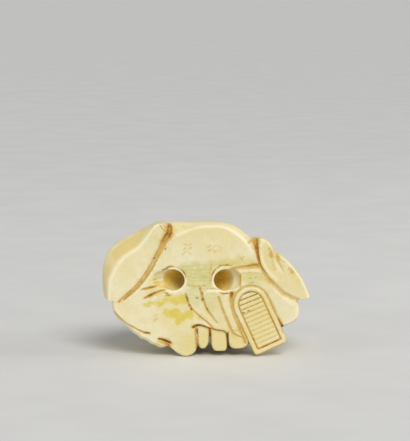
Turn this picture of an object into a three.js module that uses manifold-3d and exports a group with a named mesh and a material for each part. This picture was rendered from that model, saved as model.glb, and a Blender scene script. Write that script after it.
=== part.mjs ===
// A netsuke: the small carved toggle that hangs a pouch from a sash by a cord.
// It is one block of ivory-like material, cut as a seated figure in a wide-sleeved robe, bowed forward.
// It stands on its front, on one foot, one sandal, the cuffs and the forehead, with its flat seat upright.
//
// The carving frame, in millimetres: X runs across the figure, Y runs from the flat seat (0) up through
// the figure to the crown of its head, and Z runs from the surface that it stands on (0) to its back.
import * as THREE from "three";
import { mergeVertices } from "three/addons/utils/BufferGeometryUtils.js";
import Module from "manifold-3d";

// ---------------------------------------------------------------- driving dimensions, mm

const WIDTH = 42; // across the tips of the two sleeves
const DEPTH = 33.5; // from the seat to the crown
const HEM_Z = 11.5; // the front edge of both sleeves, where it meets the seat
const STEP = 0.45; // how far the toes lie behind the plane of the seat

const CORD_Z = 15.5; // the two cord holes
const CORD_R = 2.15;
const CORD_LEFT_X = -6.6;
const CORD_RIGHT_X = 4.4;
const CORD_DEPTH = 6.4; // from the seat to the middle of the cord's tunnel

// the straw sandal: where the middle of its lower end is, and how far it leans, in degrees
const SANDAL = { width: 7.3, length: 13.7, thick: 2.2, rim: 1.1, corner: 0.8, x: 13.3, z: 1.6, lean: 24.5 };
const SLAT_PITCH = 0.95; // between the ruled lines of the straw sole
const LINE_WIDTH = 0.3;
const LINE_DEPTH = 0.5;
const DITCH = 0.5; // the width and the depth of the ditch just outside the sandal

// the head: its middle, its three radii, and how far it is bowed, in degrees
const HEAD = { y: 26.0, z: 7.3, across: 6.5, along: 7.6, front: 7.4, bow: 35 };

const BIG = 100; // farther out than any of the carving
const ALMOST = 0.985; // how much of a dome's quarter turn is made before its flat tip

const wasm = await Module();
wasm.setup();

// ---------------------------------------------------------------- geometry to solids and back

function solidOf(geometry) {
  const bare = geometry.clone();
  bare.deleteAttribute("normal");
  bare.deleteAttribute("uv");
  const merged = mergeVertices(bare, 1e-4);
  return new wasm.Manifold(
    new wasm.Mesh({
      numProp: 3,
      vertProperties: merged.attributes.position.array,
      triVerts: new Uint32Array(merged.index.array),
    }),
  );
}

function geometryOf(solid) {
  const mesh = solid.getMesh();
  const geometry = new THREE.BufferGeometry();
  geometry.setAttribute("position", new THREE.BufferAttribute(mesh.vertProperties, 3));
  geometry.setIndex(new THREE.BufferAttribute(mesh.triVerts, 1));
  geometry.computeVertexNormals();
  return geometry;
}

const join = (solids) => solids.reduce((whole, piece) => whole.add(piece));
const cut = (whole, tools) => tools.reduce((left, tool) => left.subtract(tool), whole);
const largest = (solid) => solid.decompose().reduce((a, b) => (b.volume() > a.volume() ? b : a));
const mix = THREE.MathUtils.lerp;
const radians = THREE.MathUtils.degToRad;
const place = ([x, y, z]) => new THREE.Vector3(x, y, z);
const mirrored = ([x, y, z]) => [-x, y, z];

// ---------------------------------------------------------------- the kinds of shape in the carving

// A closed skin over a stack of rings, each of which runs anticlockwise about the way the stack grows.
// `triangles` gives the corners that fill one ring, anticlockwise too.
function skin(rings, triangles) {
  const count = rings[0].length;
  const index = [];
  for (let r = 0; r + 1 < rings.length; r++)
    for (let i = 0; i < count; i++) {
      const a = r * count + i;
      const b = r * count + ((i + 1) % count);
      index.push(a, b, b + count, a, b + count, a + count);
    }
  for (const [a, b, c] of triangles(rings[0])) index.push(a, c, b);
  const last = (rings.length - 1) * count;
  for (const [a, b, c] of triangles(rings.at(-1))) index.push(a + last, b + last, c + last);
  const geometry = new THREE.BufferGeometry();
  const positions = rings.flat().flatMap((p) => p.toArray());
  geometry.setAttribute("position", new THREE.Float32BufferAttribute(positions, 3));
  geometry.setIndex(index);
  return solidOf(geometry);
}

const fan = (ring) => ring.slice(2).map((_, i) => [0, i + 1, i + 2]);
const level = (ring) =>
  THREE.ShapeUtils.triangulateShape(ring.map((p) => new THREE.Vector2(p.z, p.x)), []);
const ringAt = (y, points) => points.map((p) => new THREE.Vector3(p.x, y, p.y));

// A closed outline in the XZ plane, anticlockwise about +Y. Each stretch is a list of points: two make a
// straight edge, more make a smooth curve. Stretches meet in corners.
function outline(stretches, fineness = 2) {
  const points = [];
  for (const stretch of stretches) {
    const curve = new THREE.SplineCurve(stretch.map(([x, z]) => new THREE.Vector2(x, z)));
    const steps = stretch.length === 2 ? 1 : fineness * (stretch.length - 1);
    points.push(...curve.getPoints(steps).slice(0, -1));
  }
  return THREE.ShapeUtils.isClockWise(points) ? points : points.reverse();
}

// A lobe of the robe. It starts at the height `base` with the outline `face`, swells to the outline `wide`
// over the height `bevel`, and closes to a dome at `top`, leaning by `lean` about `centre` on its way.
// The two outlines have as many points as each other.
function lobe({ wide, face, base = 0, bevel, top, centre, lean = [0, 0], bulge = 2, rings = 7, fineness }) {
  const low = outline(face, fineness);
  const full = outline(wide, fineness);
  const middle = new THREE.Vector2(...centre);
  const far = new THREE.Vector2(...lean);
  const stack = [0, 0.35, 0.7].map((share) => {
    const swell = Math.sin((share * Math.PI) / 2);
    return ringAt(base + bevel * share, low.map((p, i) => p.clone().lerp(full[i], swell)));
  });
  for (let k = 0; k <= rings; k++) {
    const up = Math.sin(((k / rings) * ALMOST * Math.PI) / 2);
    const size = Math.sqrt(1 - up ** bulge);
    const shift = far.clone().multiplyScalar(up ** 1.3);
    const ring = full.map((p) => p.clone().sub(middle).multiplyScalar(size).add(middle).add(shift));
    stack.push(ringAt(mix(base + bevel, top, up), ring));
  }
  return skin(stack, level);
}

// A flat slab with this outline, from the height y = low to y = high.
const slab = (points, low, high) => skin([ringAt(low, points), ringAt(high, points)], level);

// A round or flattened limb along a smooth route, through these radii at equal steps along it.
function limb(route, radii, { steps = 10, sides = 12, flat = [1, 1] } = {}) {
  const curve = new THREE.CatmullRomCurve3(route.map(place));
  const { normals, binormals } = curve.computeFrenetFrames(steps);
  const rings = normals.map((normal, s) => {
    const along = (s / steps) * (radii.length - 1);
    const from = Math.min(Math.floor(along), radii.length - 2);
    const radius = mix(radii[from], radii[from + 1], along - from);
    const middle = curve.getPointAt(s / steps);
    return Array.from({ length: sides }, (_, i) => {
      const turn = (2 * Math.PI * i) / sides;
      return middle
        .clone()
        .addScaledVector(normal, radius * flat[0] * Math.cos(turn))
        .addScaledVector(binormals[s], radius * flat[1] * Math.sin(turn));
    });
  });
  return skin(rings, fan);
}

// An egg: a ball with three radii, turned about X by this many degrees.
function egg(centre, radii, turn = 0, fineness = 16) {
  const ball = new THREE.SphereGeometry(1, fineness, Math.round(fineness * 0.7));
  ball.scale(...radii);
  ball.rotateX(radians(turn));
  ball.translate(...centre);
  return solidOf(ball);
}

function block(low, high) {
  const size = high.map((h, i) => h - low[i]);
  const box = new THREE.BoxGeometry(...size);
  box.translate(...low.map((l, i) => l + size[i] / 2));
  return solidOf(box);
}

// A groove along the seat, round in section, through these points in the plane of the seat.
function groove(points, widths, steps = 8) {
  const route = points.map(([x, z]) => [x, 0, z]);
  return limb(route, widths.map((w) => w / 2), { steps, sides: 5 });
}

// ---------------------------------------------------------------- the robe, from the seat upwards

function trunk() {
  const inside = [[11, 17], [8, 7], [-8, 7], [-12, 14]];
  const ends = (first, last) => [[last, ...inside, first]];
  const wide = [
    [-9.0, 24.0], [-7.4, 26.9], [-2.8, 27.3], [1.7, 27.4], [4.7, 26.9], [7.0, 25.7], [9.7, 23.2],
    [11, 20],
  ];
  const face = [
    [-8.0, 23.0], [-6.2, 24.5], [-3.0, 25.9], [0.6, 26.6], [3.1, 26.5], [5.8, 25.3], [8.2, 23.1],
    [9.4, 21.3],
  ];
  return lobe({
    wide: [wide, ...ends(wide[0], wide.at(-1))],
    face: [face, ...ends(face[0], face.at(-1))],
    bevel: 2.2,
    top: 21.5,
    centre: [0.3, 15],
    lean: [-0.3, -3.5],
    bulge: 2.6,
  });
}

function leftSleeve() {
  const inside = [[-16.5, HEM_Z - 0.3], [-9, 15], [-5, 21]];
  const wide = [
    [-7.0, 27.2], [-10.3, 27.0], [-15.0, 24.7], [-19.2, 21.8], [-20.8, 18.2], [-21.05, 14.8], [-20.5, HEM_Z],
  ];
  const face = [
    [-7.0, 26.9], [-10.6, 26.1], [-12.7, 23.1], [-16.2, 20.4], [-18.6, 17.0], [-19.5, 14.4], [-19.7, HEM_Z],
  ];
  return lobe({
    wide: [wide, [wide.at(-1), inside[0]], [...inside, wide[0]]],
    face: [face, [face.at(-1), inside[0]], [...inside, face[0]]],
    bevel: 3.2,
    top: 19,
    centre: [-13, 18],
    lean: [4.5, -3],
  });
}

function rightSleeve() {
  const inside = [[18.3, HEM_Z + 0.1], [10, 13], [7, 19]];
  const fold = [[9.4, 24.0], [10.9, 24.25], [12.4, 23.7], [13.4, 22.4], [13.9, 21.2]];
  const outer = [
    [13.9, 21.2], [15.3, 20.6], [16.8, 19.3], [18.2, 17.7], [19.5, 15.8], [20.4, 13.9], [21.1, 12.1],
  ];
  const inset = ([x, z]) => [x - 0.25, z - 0.15];
  const around = (bend) => [
    fold.map(bend),
    outer.map(bend),
    [bend(outer.at(-1)), inside[0]],
    [...inside, bend(fold[0])],
  ];
  return lobe({
    wide: around((p) => p),
    face: around(inset),
    bevel: 2,
    top: 18.5,
    centre: [13, 17.5],
    lean: [-4.5, -2.5],
  });
}

// The robe over the lap: the hem that the toes come out from under, and the belly above it.
function lap() {
  const hem = [[-2.4, 6.45], [-0.4, 6.3], [1.1, 5.85], [4.1, 5.1]];
  const swollen = [[-4.5, 4.2], [-0.4, 4.0], [3.0, 3.8], [7.0, 3.9]];
  const inside = [[9, 7], [9, 14], [-9, 14], [-8, 8]];
  return lobe({
    wide: [swollen, [swollen.at(-1), ...inside, swollen[0]]],
    face: [hem, [hem.at(-1), ...inside, hem[0]]],
    bevel: 4,
    top: 12.5,
    centre: [0, 9.5],
    bulge: 3,
  });
}

// ---------------------------------------------------------------- the legs

function leftKnee() {
  const edge = [
    [-18.95, 11.6], [-18.85, 9.3], [-17.8, 7.6], [-15.9, 5.8], [-13.8, 4.0], [-11.4, 2.6], [-8.7, 1.65],
  ];
  const inside = [[-7.7, 2.1], [-4, 7], [-6, 13], [-14, 15]];
  const inset = edge.map(([x, z]) => [x + 0.5, z + 0.65]);
  return lobe({
    wide: [edge, [edge.at(-1), inside[0]], [...inside, edge[0]]],
    face: [inset, [inset.at(-1), inside[0]], [...inside, inset[0]]],
    bevel: 1.6,
    top: 10.5,
    centre: [-11, 8.5],
    lean: [1.5, 0.5],
    bulge: 2.4,
    rings: 5,
  });
}

function rightKnee() {
  const edge = [[18.3, 11.9], [18.8, 10.3], [18.9, 8.8], [18.5, 7.5], [17.1, 6.6], [15.6, 5.95]];
  const inside = [[12.5, 3.2], [8, 6], [7, 12], [13, 15]];
  const inset = edge.map(([x, z]) => [x - 0.6, z + 0.5]);
  return lobe({
    wide: [edge, [edge.at(-1), ...inside, edge[0]]],
    face: [inset, [inset.at(-1), ...inside, inset[0]]],
    bevel: 1.6,
    top: 10.5,
    centre: [12, 8.5],
    lean: [-1, 0.5],
    bulge: 2.4,
    rings: 5,
  });
}

// The heel of the left foot, which is the lowest point of the carving.
function heel() {
  const edge = [[-7.6, 2.1], [-6.9, 1.5], [-5.8, 0.6], [-4.3, -0.15], [-2.7, 0.3], [-1.8, 1.6]];
  const inside = [[-2.1, 5.5], [-5, 9], [-8.5, 6]];
  const inset = edge.map(([x, z]) => [x, z + 0.5]);
  return lobe({
    wide: [edge, [edge.at(-1), ...inside, edge[0]]],
    face: [inset, [inset.at(-1), ...inside, inset[0]]],
    bevel: 1.2,
    top: 7.5,
    centre: [-5, 4.5],
    bulge: 2.6,
    rings: 5,
  });
}

// One toe under the hem, square with a rounded end. `edge` runs down its left side and up its right one.
function toe(edge, base) {
  const top = 7.5;
  const left = [edge[0][0], top];
  const right = [edge.at(-1)[0], top];
  const inset = edge.map(([x, z]) => [x, z + 0.25]);
  return lobe({
    wide: [edge, [edge.at(-1), right], [right, left], [left, edge[0]]],
    face: [inset, [inset.at(-1), right], [right, left], [left, inset[0]]],
    base,
    bevel: 0.7,
    top: 5.5,
    centre: [(left[0] + right[0]) / 2, 5],
    bulge: 3,
    rings: 4,
    fineness: 1,
  });
}

const toes = () => [
  toe([[-1.75, 5.5], [-1.65, 2.6], [-1.1, 1.6], [-0.2, 1.6], [0.4, 2.4], [0.72, 5.5]], STEP),
  toe([[0.95, 5.5], [1.15, 2.2], [1.75, 1.12], [3.95, 1.12], [4.3, 2.2], [4.0, 5.5]], STEP),
  toe([[4.5, 5.5], [4.75, 2.3], [5.5, 1.62], [7.5, 1.65], [8.5, 2.5], [8.8, 4.0]], STEP / 3),
];

// ---------------------------------------------------------------- the straw sandal

// An arch: straight sides and a flat foot, with rounded corners, under a half circle. It lies `inset`
// inside the sandal's edge.
function arch(inset) {
  const half = SANDAL.width / 2 - inset;
  const spring = SANDAL.length - SANDAL.width / 2;
  const bend = Math.max(SANDAL.corner - inset, 0);
  const diagonal = bend * (1 - Math.SQRT1_2);
  const rounded = [[-half, inset + bend], [diagonal - half, inset + diagonal], [bend - half, inset]];
  const left = bend > 0 ? rounded : [[-half, inset]];
  const right = left.toReversed().map(([across, along]) => [-across, along]);
  const points = [...left, ...right];
  for (let turn = 0; turn <= 180; turn += 20) {
    const angle = radians(turn);
    points.push([half * Math.cos(angle), spring + half * Math.sin(angle)]);
  }
  return points.map(onSandal).reverse();
}

// From the sandal's own axes, across and along it, to the plane of the seat.
function onSandal([across, along]) {
  const lean = radians(SANDAL.lean);
  const x = SANDAL.x + across * Math.cos(lean) - along * Math.sin(lean);
  const z = SANDAL.z + across * Math.sin(lean) + along * Math.cos(lean);
  return new THREE.Vector2(x, z);
}

// The sole, and the foot that stands on it.
function sandal() {
  const foot = arch(0.6).map((p) => p.toArray());
  const edges = foot.map((p, i) => [p, foot[(i + 1) % foot.length]]);
  const centre = onSandal([0, SANDAL.length * 0.45]).toArray();
  return [
    slab(arch(0), 0, SANDAL.thick),
    lobe({ wide: edges, face: edges, base: SANDAL.thick / 2, bevel: 2.4, top: 8.5, centre, rings: 5 }),
  ];
}

function soleLines() {
  const half = SANDAL.width / 2 - SANDAL.rim;
  const spring = SANDAL.length - SANDAL.width / 2;
  const lines = [];
  for (let along = SANDAL.rim + SLAT_PITCH; along < SANDAL.length - 2 * SANDAL.rim; along += SLAT_PITCH) {
    const rise = Math.max(0, along - spring);
    const reach = Math.sqrt(half ** 2 - rise ** 2) - 0.1;
    const corners = [
      [-reach, along],
      [reach, along],
      [reach, along + LINE_WIDTH],
      [-reach, along + LINE_WIDTH],
    ];
    lines.push(slab(corners.map(onSandal).reverse(), -1, LINE_DEPTH));
  }
  return lines;
}

// A square-edged ditch all round the sandal, along the arch that lies `inset` inside its edge.
function ditch(inset, width, depth) {
  const around = slab(arch(inset - width / 2), -1, depth);
  return around.subtract(slab(arch(inset + width / 2), -2, depth + 1));
}

// ---------------------------------------------------------------- arms, neck and head

function arm(side) {
  const turned = side < 0 ? (p) => p : mirrored;
  const shoulder = turned([-6.6, 16.8, 13.8]);
  const elbow = turned([-14.2, 10.8, 11.2]);
  const wrist = turned([-6.8, 10.9, 3.5]);
  const upper = [shoulder, turned([-11.6, 14.4, 13.4]), elbow];
  const lower = [elbow, turned([-11.4, 9.8, 6.5]), wrist];
  return [
    egg(shoulder, [4.4, 4.4, 4.4], 0, 12),
    limb(upper, [4.4, 4.8, 4.4], { steps: 5 }),
    egg(elbow, [4.4, 4.4, 4.4], 0, 12),
    limb(lower, [4.4, 3.9, 3.3], { steps: 5 }),
    egg(turned([-6.8, 11.3, 3.1]), [2.5, 3.3, 3.2], 0, 14),
    egg(turned([-2.7, 11.2, 3.6]), [2.9, 2.1, 2.2], 20, 12),
  ];
}

// A point on the bowed head: across it, towards the crown, and out through the face.
function onHead(across, up, out) {
  const bow = radians(HEAD.bow);
  return [
    across,
    HEAD.y + up * Math.cos(bow) - out * Math.sin(bow),
    HEAD.z - up * Math.sin(bow) - out * Math.cos(bow),
  ];
}

function head() {
  const turn = -HEAD.bow;
  const bridge = [onHead(0, 1.0, 6.7), onHead(0, -0.6, 7.1), onHead(0, -2.0, 7.3)];
  const parts = [
    egg([0, HEAD.y, HEAD.z], [HEAD.across, HEAD.along, HEAD.front], turn, 20),
    egg(onHead(0, -4.2, 2.6), [4.4, 3.9, 4.2], turn, 14),
    limb(bridge, [0.3, 0.6, 1.0], { steps: 4, sides: 8 }),
    egg(onHead(0, -2.1, 7.2), [1.25, 0.9, 0.95], turn, 10),
    limb([[0, 16.5, 14.0], [0, 20.5, 12.0], [0, 23.5, 10.0]], [5.2, 4.6, 4.6], { steps: 4 }),
  ];
  for (const side of [-1, 1]) {
    parts.push(egg(onHead(side * 2.6, 0.9, 6.1), [2.0, 0.7, 1.0], turn, 10));
    parts.push(egg(onHead(side * (HEAD.across - 0.1), -0.8, -0.2), [0.8, 2.1, 1.3], turn, 10));
  }
  return parts;
}

function faceCuts() {
  const mouth = [onHead(-1.5, -4.0, 7.0), onHead(0, -4.25, 7.2), onHead(1.5, -4.0, 7.0)];
  const cuts = [limb(mouth, [0.15, 0.3, 0.15], { steps: 4, sides: 6 })];
  for (const side of [-1, 1]) {
    const inner = onHead(side * 1.5, -0.55, 6.95);
    const lid = [inner, onHead(side * 2.6, -0.75, 6.6), onHead(side * 3.7, -0.5, 5.9)];
    cuts.push(limb(lid, [0.15, 0.3, 0.15], { steps: 4, sides: 6 }));
  }
  return cuts;
}

function collar() {
  const route = [
    [-3.4, 13.5, 5.2], [-5.4, 17.5, 8.2], [-5.8, 20.3, 13.0], [0, 21.2, 17.4], [5.8, 20.3, 13.0],
    [5.4, 17.5, 8.2], [2.2, 13.5, 5.0],
  ];
  return limb(route, [1.1, 1.3, 1.4, 1.3, 1.1], { steps: 14, sides: 7 });
}

// ---------------------------------------------------------------- what is cut into the carving

function cordTunnel() {
  const route = [
    [CORD_LEFT_X - 0.6, -1, CORD_Z], [CORD_LEFT_X + 1.6, 3, CORD_Z],
    [(CORD_LEFT_X + CORD_RIGHT_X) / 2, CORD_DEPTH, CORD_Z],
    [CORD_RIGHT_X - 1.9, 3, CORD_Z], [CORD_RIGHT_X, -1, CORD_Z],
  ];
  return limb(route, [CORD_R, CORD_R], { steps: 12, sides: 14 });
}

function seatGrooves() {
  return [
    // between the left sleeve and the back, from the top down to the hem
    groove([[-7.2, 27.6], [-8.2, 23.7], [-9.7, 20.7], [-11.7, 17.2], [-14.1, 14.2], [-17.6, 11]],
      [1.3, 1.1, 0.8, 0.7], 7),
    // between the right sleeve and the back
    groove([[9.0, 24.6], [10.2, 21.3], [11.0, 18.7], [11.7, 17.3], [13.3, 14.6], [15.1, 12.7], [18.6, 11.3]],
      [1.2, 0.9, 0.7, 0.6], 8),
    // the fold that parts the right sleeve's two leaves
    groove([[14.0, 21.9], [13.9, 19.6], [14.9, 17.8]], [0.7, 0.6, 0.2], 4),
    // the strip over the sandal
    groove([[5.2, 17.9], [7.6, 18.3], [10.6, 18.4]], [0.3, 0.7, 0.6], 5),
    groove([[7.0, 17.4], [6.9, 15.8], [6.9, 14.2]], [0.4, 0.4], 3),
    // the folds of the robe between the cord holes and the toes
    groove([[-4.0, 13.0], [-2.8, 9.7], [-1.6, 8.5], [2.0, 6.7]], [0.3, 0.6, 0.6, 0.5], 5),
    groove([[-1.0, 14.2], [-0.7, 11.8], [0.2, 9.4], [1.7, 7.0]], [0.3, 0.5, 0.4], 4),
    groove([[2.8, 12.1], [4.9, 5.5], [6.1, 4.4], [7.8, 3.6]], [0.4, 0.6, 0.5], 5),
    // the two short strokes beside the left cord hole
    groove([[-12.6, 13.9], [-11.4, 14.2], [-10.3, 14.3]], [0.3, 0.7, 0.4], 3),
    groove([[-12.3, 11.5], [-10.4, 12.5], [-8.8, 13.6]], [0.3, 0.6, 0.4], 4),
    // the top edge of the left knee
    groove([[-17.7, 8.8], [-14.6, 6.7], [-11.4, 4.9]], [0.4, 0.8, 0.3], 4),
    groove([[-9.6, 3.9], [-8.4, 3.2], [-7.2, 2.9]], [0.3, 1.0, 0.3], 3),
  ];
}

// Long shallow folds, laid over the back of the robe.
function backFolds(carving) {
  const mesh = new THREE.Mesh(geometryOf(carving));
  const ray = new THREE.Raycaster();
  const onBack = ([x, y]) => {
    ray.set(new THREE.Vector3(x, y, BIG), new THREE.Vector3(0, 0, -1));
    return [x, y, ray.intersectObject(mesh)[0].point.z];
  };
  const folds = [
    [[-9.0, 4.5], [-8.6, 9], [-7.4, 13], [-5.0, 17]],
    [[-3.2, 5.0], [-3.0, 9], [-2.4, 13], [-1.6, 17]],
    [[3.6, 4.5], [3.5, 9], [2.9, 13], [1.8, 17]],
    [[9.5, 5.0], [9.0, 9], [7.6, 13], [5.2, 17]],
    [[-16.2, 5.5], [-14.6, 9.5], [-11.8, 13]],
    [[16.0, 5.5], [14.4, 9.5], [11.8, 13]],
  ];
  return folds.map((fold) => limb(fold.map(onBack), [0.15, 0.6, 0.5, 0.15], { steps: 5, sides: 4 }));
}

// ---------------------------------------------------------------- the whole carving

function carving() {
  const forms = [
    trunk(), leftSleeve(), rightSleeve(), lap(), leftKnee(), rightKnee(), heel(), ...toes(), ...sandal(),
    ...arm(-1), ...arm(1), ...head(), collar(),
  ];
  const raw = join(forms);
  const carved = cut(raw, [
    ditch(-DITCH / 2, DITCH, DITCH),
    ditch(SANDAL.rim, LINE_WIDTH, LINE_DEPTH),
    ...soleLines(), ...seatGrooves(), ...backFolds(raw), ...faceCuts(), cordTunnel(),
  ]);
  const half = WIDTH / 2;
  const trimmed = cut(carved, [
    block([-BIG, -BIG, -BIG], [BIG, BIG, 0]),
    block([-BIG, DEPTH, -BIG], [BIG, BIG, BIG]),
    block([-BIG, -BIG, -BIG], [-half, BIG, BIG]),
    block([half, -BIG, -BIG], [BIG, BIG, BIG]),
  ]);
  return largest(trimmed);
}

// The part's own frame: the middle of its box in X and Y, and the surface that it stands on in Z.
const ivory = new THREE.MeshStandardMaterial({ color: 0xe6d9a8, roughness: 0.42, metalness: 0 });
const netsuke = new THREE.Mesh(geometryOf(carving()), ivory);
netsuke.name = "carved_netsuke";
netsuke.position.y = -DEPTH / 2;

const part = new THREE.Group();
part.add(netsuke);

export default part;
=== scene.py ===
"""A small carved netsuke: a seated, bowed figure in a wide-sleeved robe, standing on its front.

The carving is one piece. Its form is a signed distance field, in millimetres, in the carving frame:
X runs across the figure, Y from the flat seat (0) up to the crown, Z from the floor (0) to the back.
"""

import bpy
import numpy as np
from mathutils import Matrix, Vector


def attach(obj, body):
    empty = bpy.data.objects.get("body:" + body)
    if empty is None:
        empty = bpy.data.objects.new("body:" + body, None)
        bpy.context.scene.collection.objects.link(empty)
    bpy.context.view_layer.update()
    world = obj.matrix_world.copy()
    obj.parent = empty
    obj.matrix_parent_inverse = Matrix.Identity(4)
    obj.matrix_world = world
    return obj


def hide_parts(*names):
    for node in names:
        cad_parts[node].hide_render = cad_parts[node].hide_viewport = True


# ---------------------------------------------------------------- driving dimensions, mm

MM = 0.001
DEPTH = 33.5  # from the seat to the crown
HEM_Z = 11.5  # the front edge of both sleeves, where it meets the seat
TOE_STEP = 0.45  # how far two of the toes lie behind the plane of the seat
LAST_TOE_STEP = 0.15  # how far the toe beside the sandal does

# the two cord holes, and the tunnel that joins them
CORD_Z = 15.5
CORD_R = 2.15
CORD_LEFT_X = -6.6
CORD_RIGHT_X = 4.4
CORD_DEPTH = 6.4  # from the seat to the middle of the tunnel
CORD_WEAR = 0.3  # how far up the cord has worn the tunnel's two mouths

# the straw sandal: where the middle of its lower end is, and how far it leans, in degrees
SANDAL = {
    "width": 7.3, "length": 13.7, "thick": 2.2, "rim": 1.1, "corner": 0.8, "x": 13.3, "z": 1.6, "lean": 24.5,
}
SLAT_PITCH = 0.95  # between the ruled lines of its sole

# the head: its middle, its three radii, and how far it is bowed, in degrees
HEAD = {"y": 26.0, "z": 7.3, "across": 6.5, "along": 7.6, "front": 7.4, "bow": 35}

FAR = np.float32(50)  # farther out than any of the carving
TINY = 1e-9  # stands in for nought where a number is divided by


# ---------------------------------------------------------------- curves and tables in the plane of the seat


def spline(points, fineness=4):
    """A smooth curve through these points, as a list of more points."""
    points = np.asarray(points, float)
    if len(points) == 2:
        return points
    padded = np.vstack([points[:1], points, points[-1:]])
    t = np.linspace(0, 1, fineness, endpoint=False)[:, None]
    stretches = []
    for a, b, c, d in zip(padded, padded[1:], padded[2:], padded[3:]):
        bend = (2 * a - 5 * b + 4 * c - d) * t**2 + (3 * b - a - 3 * c + d) * t**3
        stretches.append(b + 0.5 * ((c - a) * t + bend))
    return np.vstack([*stretches, points[-1:]])


def outline(stretches):
    """A closed outline: each stretch is a list of points, and stretches meet in corners."""
    return np.vstack([spline(stretch)[:-1] for stretch in stretches])


def closed(edges, hidden, corner=False):
    """The stretches of an outline: the edges that show, and the way back through the hidden points.

    `corner` says whether the outline turns a corner at the first hidden point.
    """
    first, last = edges[0][0], edges[-1][-1]
    if corner:
        return [*edges, [last, hidden[0]], [*hidden, first]]
    return [*edges, [last, *hidden, first]]


def shifted(points, across, up):
    return [(x + across, z + up) for x, z in points]


def oval(centre, radii, first, last, count):
    """Points round an oval, from one turn to another, in degrees."""
    turns = np.radians(np.linspace(first, last, count))
    return np.column_stack([centre[0] + radii[0] * np.cos(turns), centre[1] + radii[1] * np.sin(turns)])


class Table:
    """A value for each place in the plane of the seat, read back by bilinear interpolation."""

    # the corners of the rectangle that it covers
    LOW = np.array([-24.0, -3.0])
    HIGH = np.array([24.0, 31.0])

    def __init__(self, step):
        self.step = step
        count = np.ceil((self.HIGH - self.LOW) / step).astype(int) + 1
        axes = [low + step * np.arange(n) for low, n in zip(self.LOW, count)]
        self.x, self.z = np.meshgrid(*axes, indexing="ij")
        self.values = None

    def at(self, x, z):
        last_u, last_v = (n - 1.001 for n in self.values.shape)
        u = np.clip((x - self.LOW[0]) / self.step, 0, last_u)
        v = np.clip((z - self.LOW[1]) / self.step, 0, last_v)
        i, j = u.astype(np.int32), v.astype(np.int32)
        u, v = u - i, v - j
        a = self.values
        low = a[i, j] * (1 - u) + a[i + 1, j] * u
        high = a[i, j + 1] * (1 - u) + a[i + 1, j + 1] * u
        return low * (1 - v) + high * v

    def distance(self, x, z):
        """A table of distances, carried on past its own edges."""
        near_x, near_z = np.clip(x, self.LOW[0], self.HIGH[0]), np.clip(z, self.LOW[1], self.HIGH[1])
        return self.at(near_x, near_z) + np.hypot(x - near_x, z - near_z)


def segments(points, loop=False):
    """The two ends of each segment of a chain of points. A loop's last segment leads back to its start."""
    points = np.asarray(points, float)
    ends = np.roll(points, -1, axis=0) if loop else points[1:]
    return list(zip(points, ends))


def line_distance(x, z, points, loop=False):
    """Distance to a chain of points, and how far along it the nearest place is, from 0 to 1."""
    best = np.full(x.shape, np.inf)
    along = np.zeros(x.shape)
    chain = segments(points, loop)
    for k, (a, b) in enumerate(chain):
        run = b - a
        t = ((x - a[0]) * run[0] + (z - a[1]) * run[1]) / max(run @ run, TINY)
        t = np.clip(t, 0, 1)
        d = (x - a[0] - t * run[0]) ** 2 + (z - a[1] - t * run[1]) ** 2
        nearer = d < best
        best = np.where(nearer, d, best)
        along = np.where(nearer, (k + t) / len(chain), along)
    return np.sqrt(best), along


def inside(x, z, points):
    """True inside a closed outline."""
    crossed = np.zeros(x.shape, bool)
    for a, b in segments(points, True):
        if a[1] == b[1]:
            continue
        spans = (a[1] > z) != (b[1] > z)
        crossed ^= spans & (x < a[0] + (z - a[1]) * (b[0] - a[0]) / (b[1] - a[1]))
    return crossed


def outline_table(points, step=0.2):
    """The signed distance to a closed outline, negative inside."""
    table = Table(step)
    distance, _ = line_distance(table.x, table.z, points, True)
    sign = np.where(inside(table.x, table.z, points), -1, 1)
    table.values = (distance * sign).astype(np.float32)
    return table


# ---------------------------------------------------------------- the kinds of shape in the carving


def smooth_min(a, b, soft):
    """The lesser of two, with a blend where they differ by less than `soft`."""
    if not soft:
        return np.minimum(a, b)
    share = np.clip(0.5 + 0.5 * (b - a) / soft, 0, 1)
    return b + (a - b) * share - soft * share * (1 - share)


def smooth_max(a, b, soft):
    return -smooth_min(-a, -b, soft)


class Form:
    """A shape, and the corners of the box outside which it changes nothing."""

    REACH = 2.0

    def enclose(self, low, high):
        self.low, self.high = np.array(low, float) - self.REACH, np.array(high, float) + self.REACH

    def reaches(self, x, y, z):
        here = (x > self.low[0]) & (x < self.high[0]) & (z > self.low[2]) & (z < self.high[2])
        return here & (y > self.low[1]) & (y < self.high[1])


class Lobe(Form):
    """Starts at `base` with the outline `face`, swells to `wide`, and closes to a dome at `top`."""

    LEAN_POWER = 1.3  # the dome leans more and more on its way up
    TIP = 1e-3  # the square of the dome's least size, at its top

    def __init__(self, wide, face, bevel, top, centre, base=0.0, lean=(0, 0), bulge=2.0):
        wide, face = outline(wide), outline(face)
        self.wide, self.face = outline_table(wide), outline_table(face)
        self.base, self.bevel, self.top, self.bulge = base, bevel, top, bulge
        self.centre, self.lean = centre, lean
        ends = np.vstack([wide, face, wide + lean])
        low, high = ends.min(0), ends.max(0)
        self.enclose([low[0], base, low[1]], [high[0], top, high[1]])

    def __call__(self, x, y, z):
        swell = np.sin(np.clip((y - self.base) / self.bevel, 0, 1) * np.pi / 2)
        start = self.base + self.bevel
        up = np.clip((y - start) / (self.top - start), 0, 1)
        size = np.sqrt(np.maximum(1 - up**self.bulge, self.TIP))
        cx, cz = self.centre
        sx = (x - cx - self.lean[0] * up**self.LEAN_POWER) / size + cx
        sz = (z - cz - self.lean[1] * up**self.LEAN_POWER) / size + cz
        side = self.wide.distance(sx, sz) * swell + self.face.distance(sx, sz) * (1 - swell)
        side = side * size
        return np.maximum(np.maximum(side, y - self.top), self.base - y)


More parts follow.
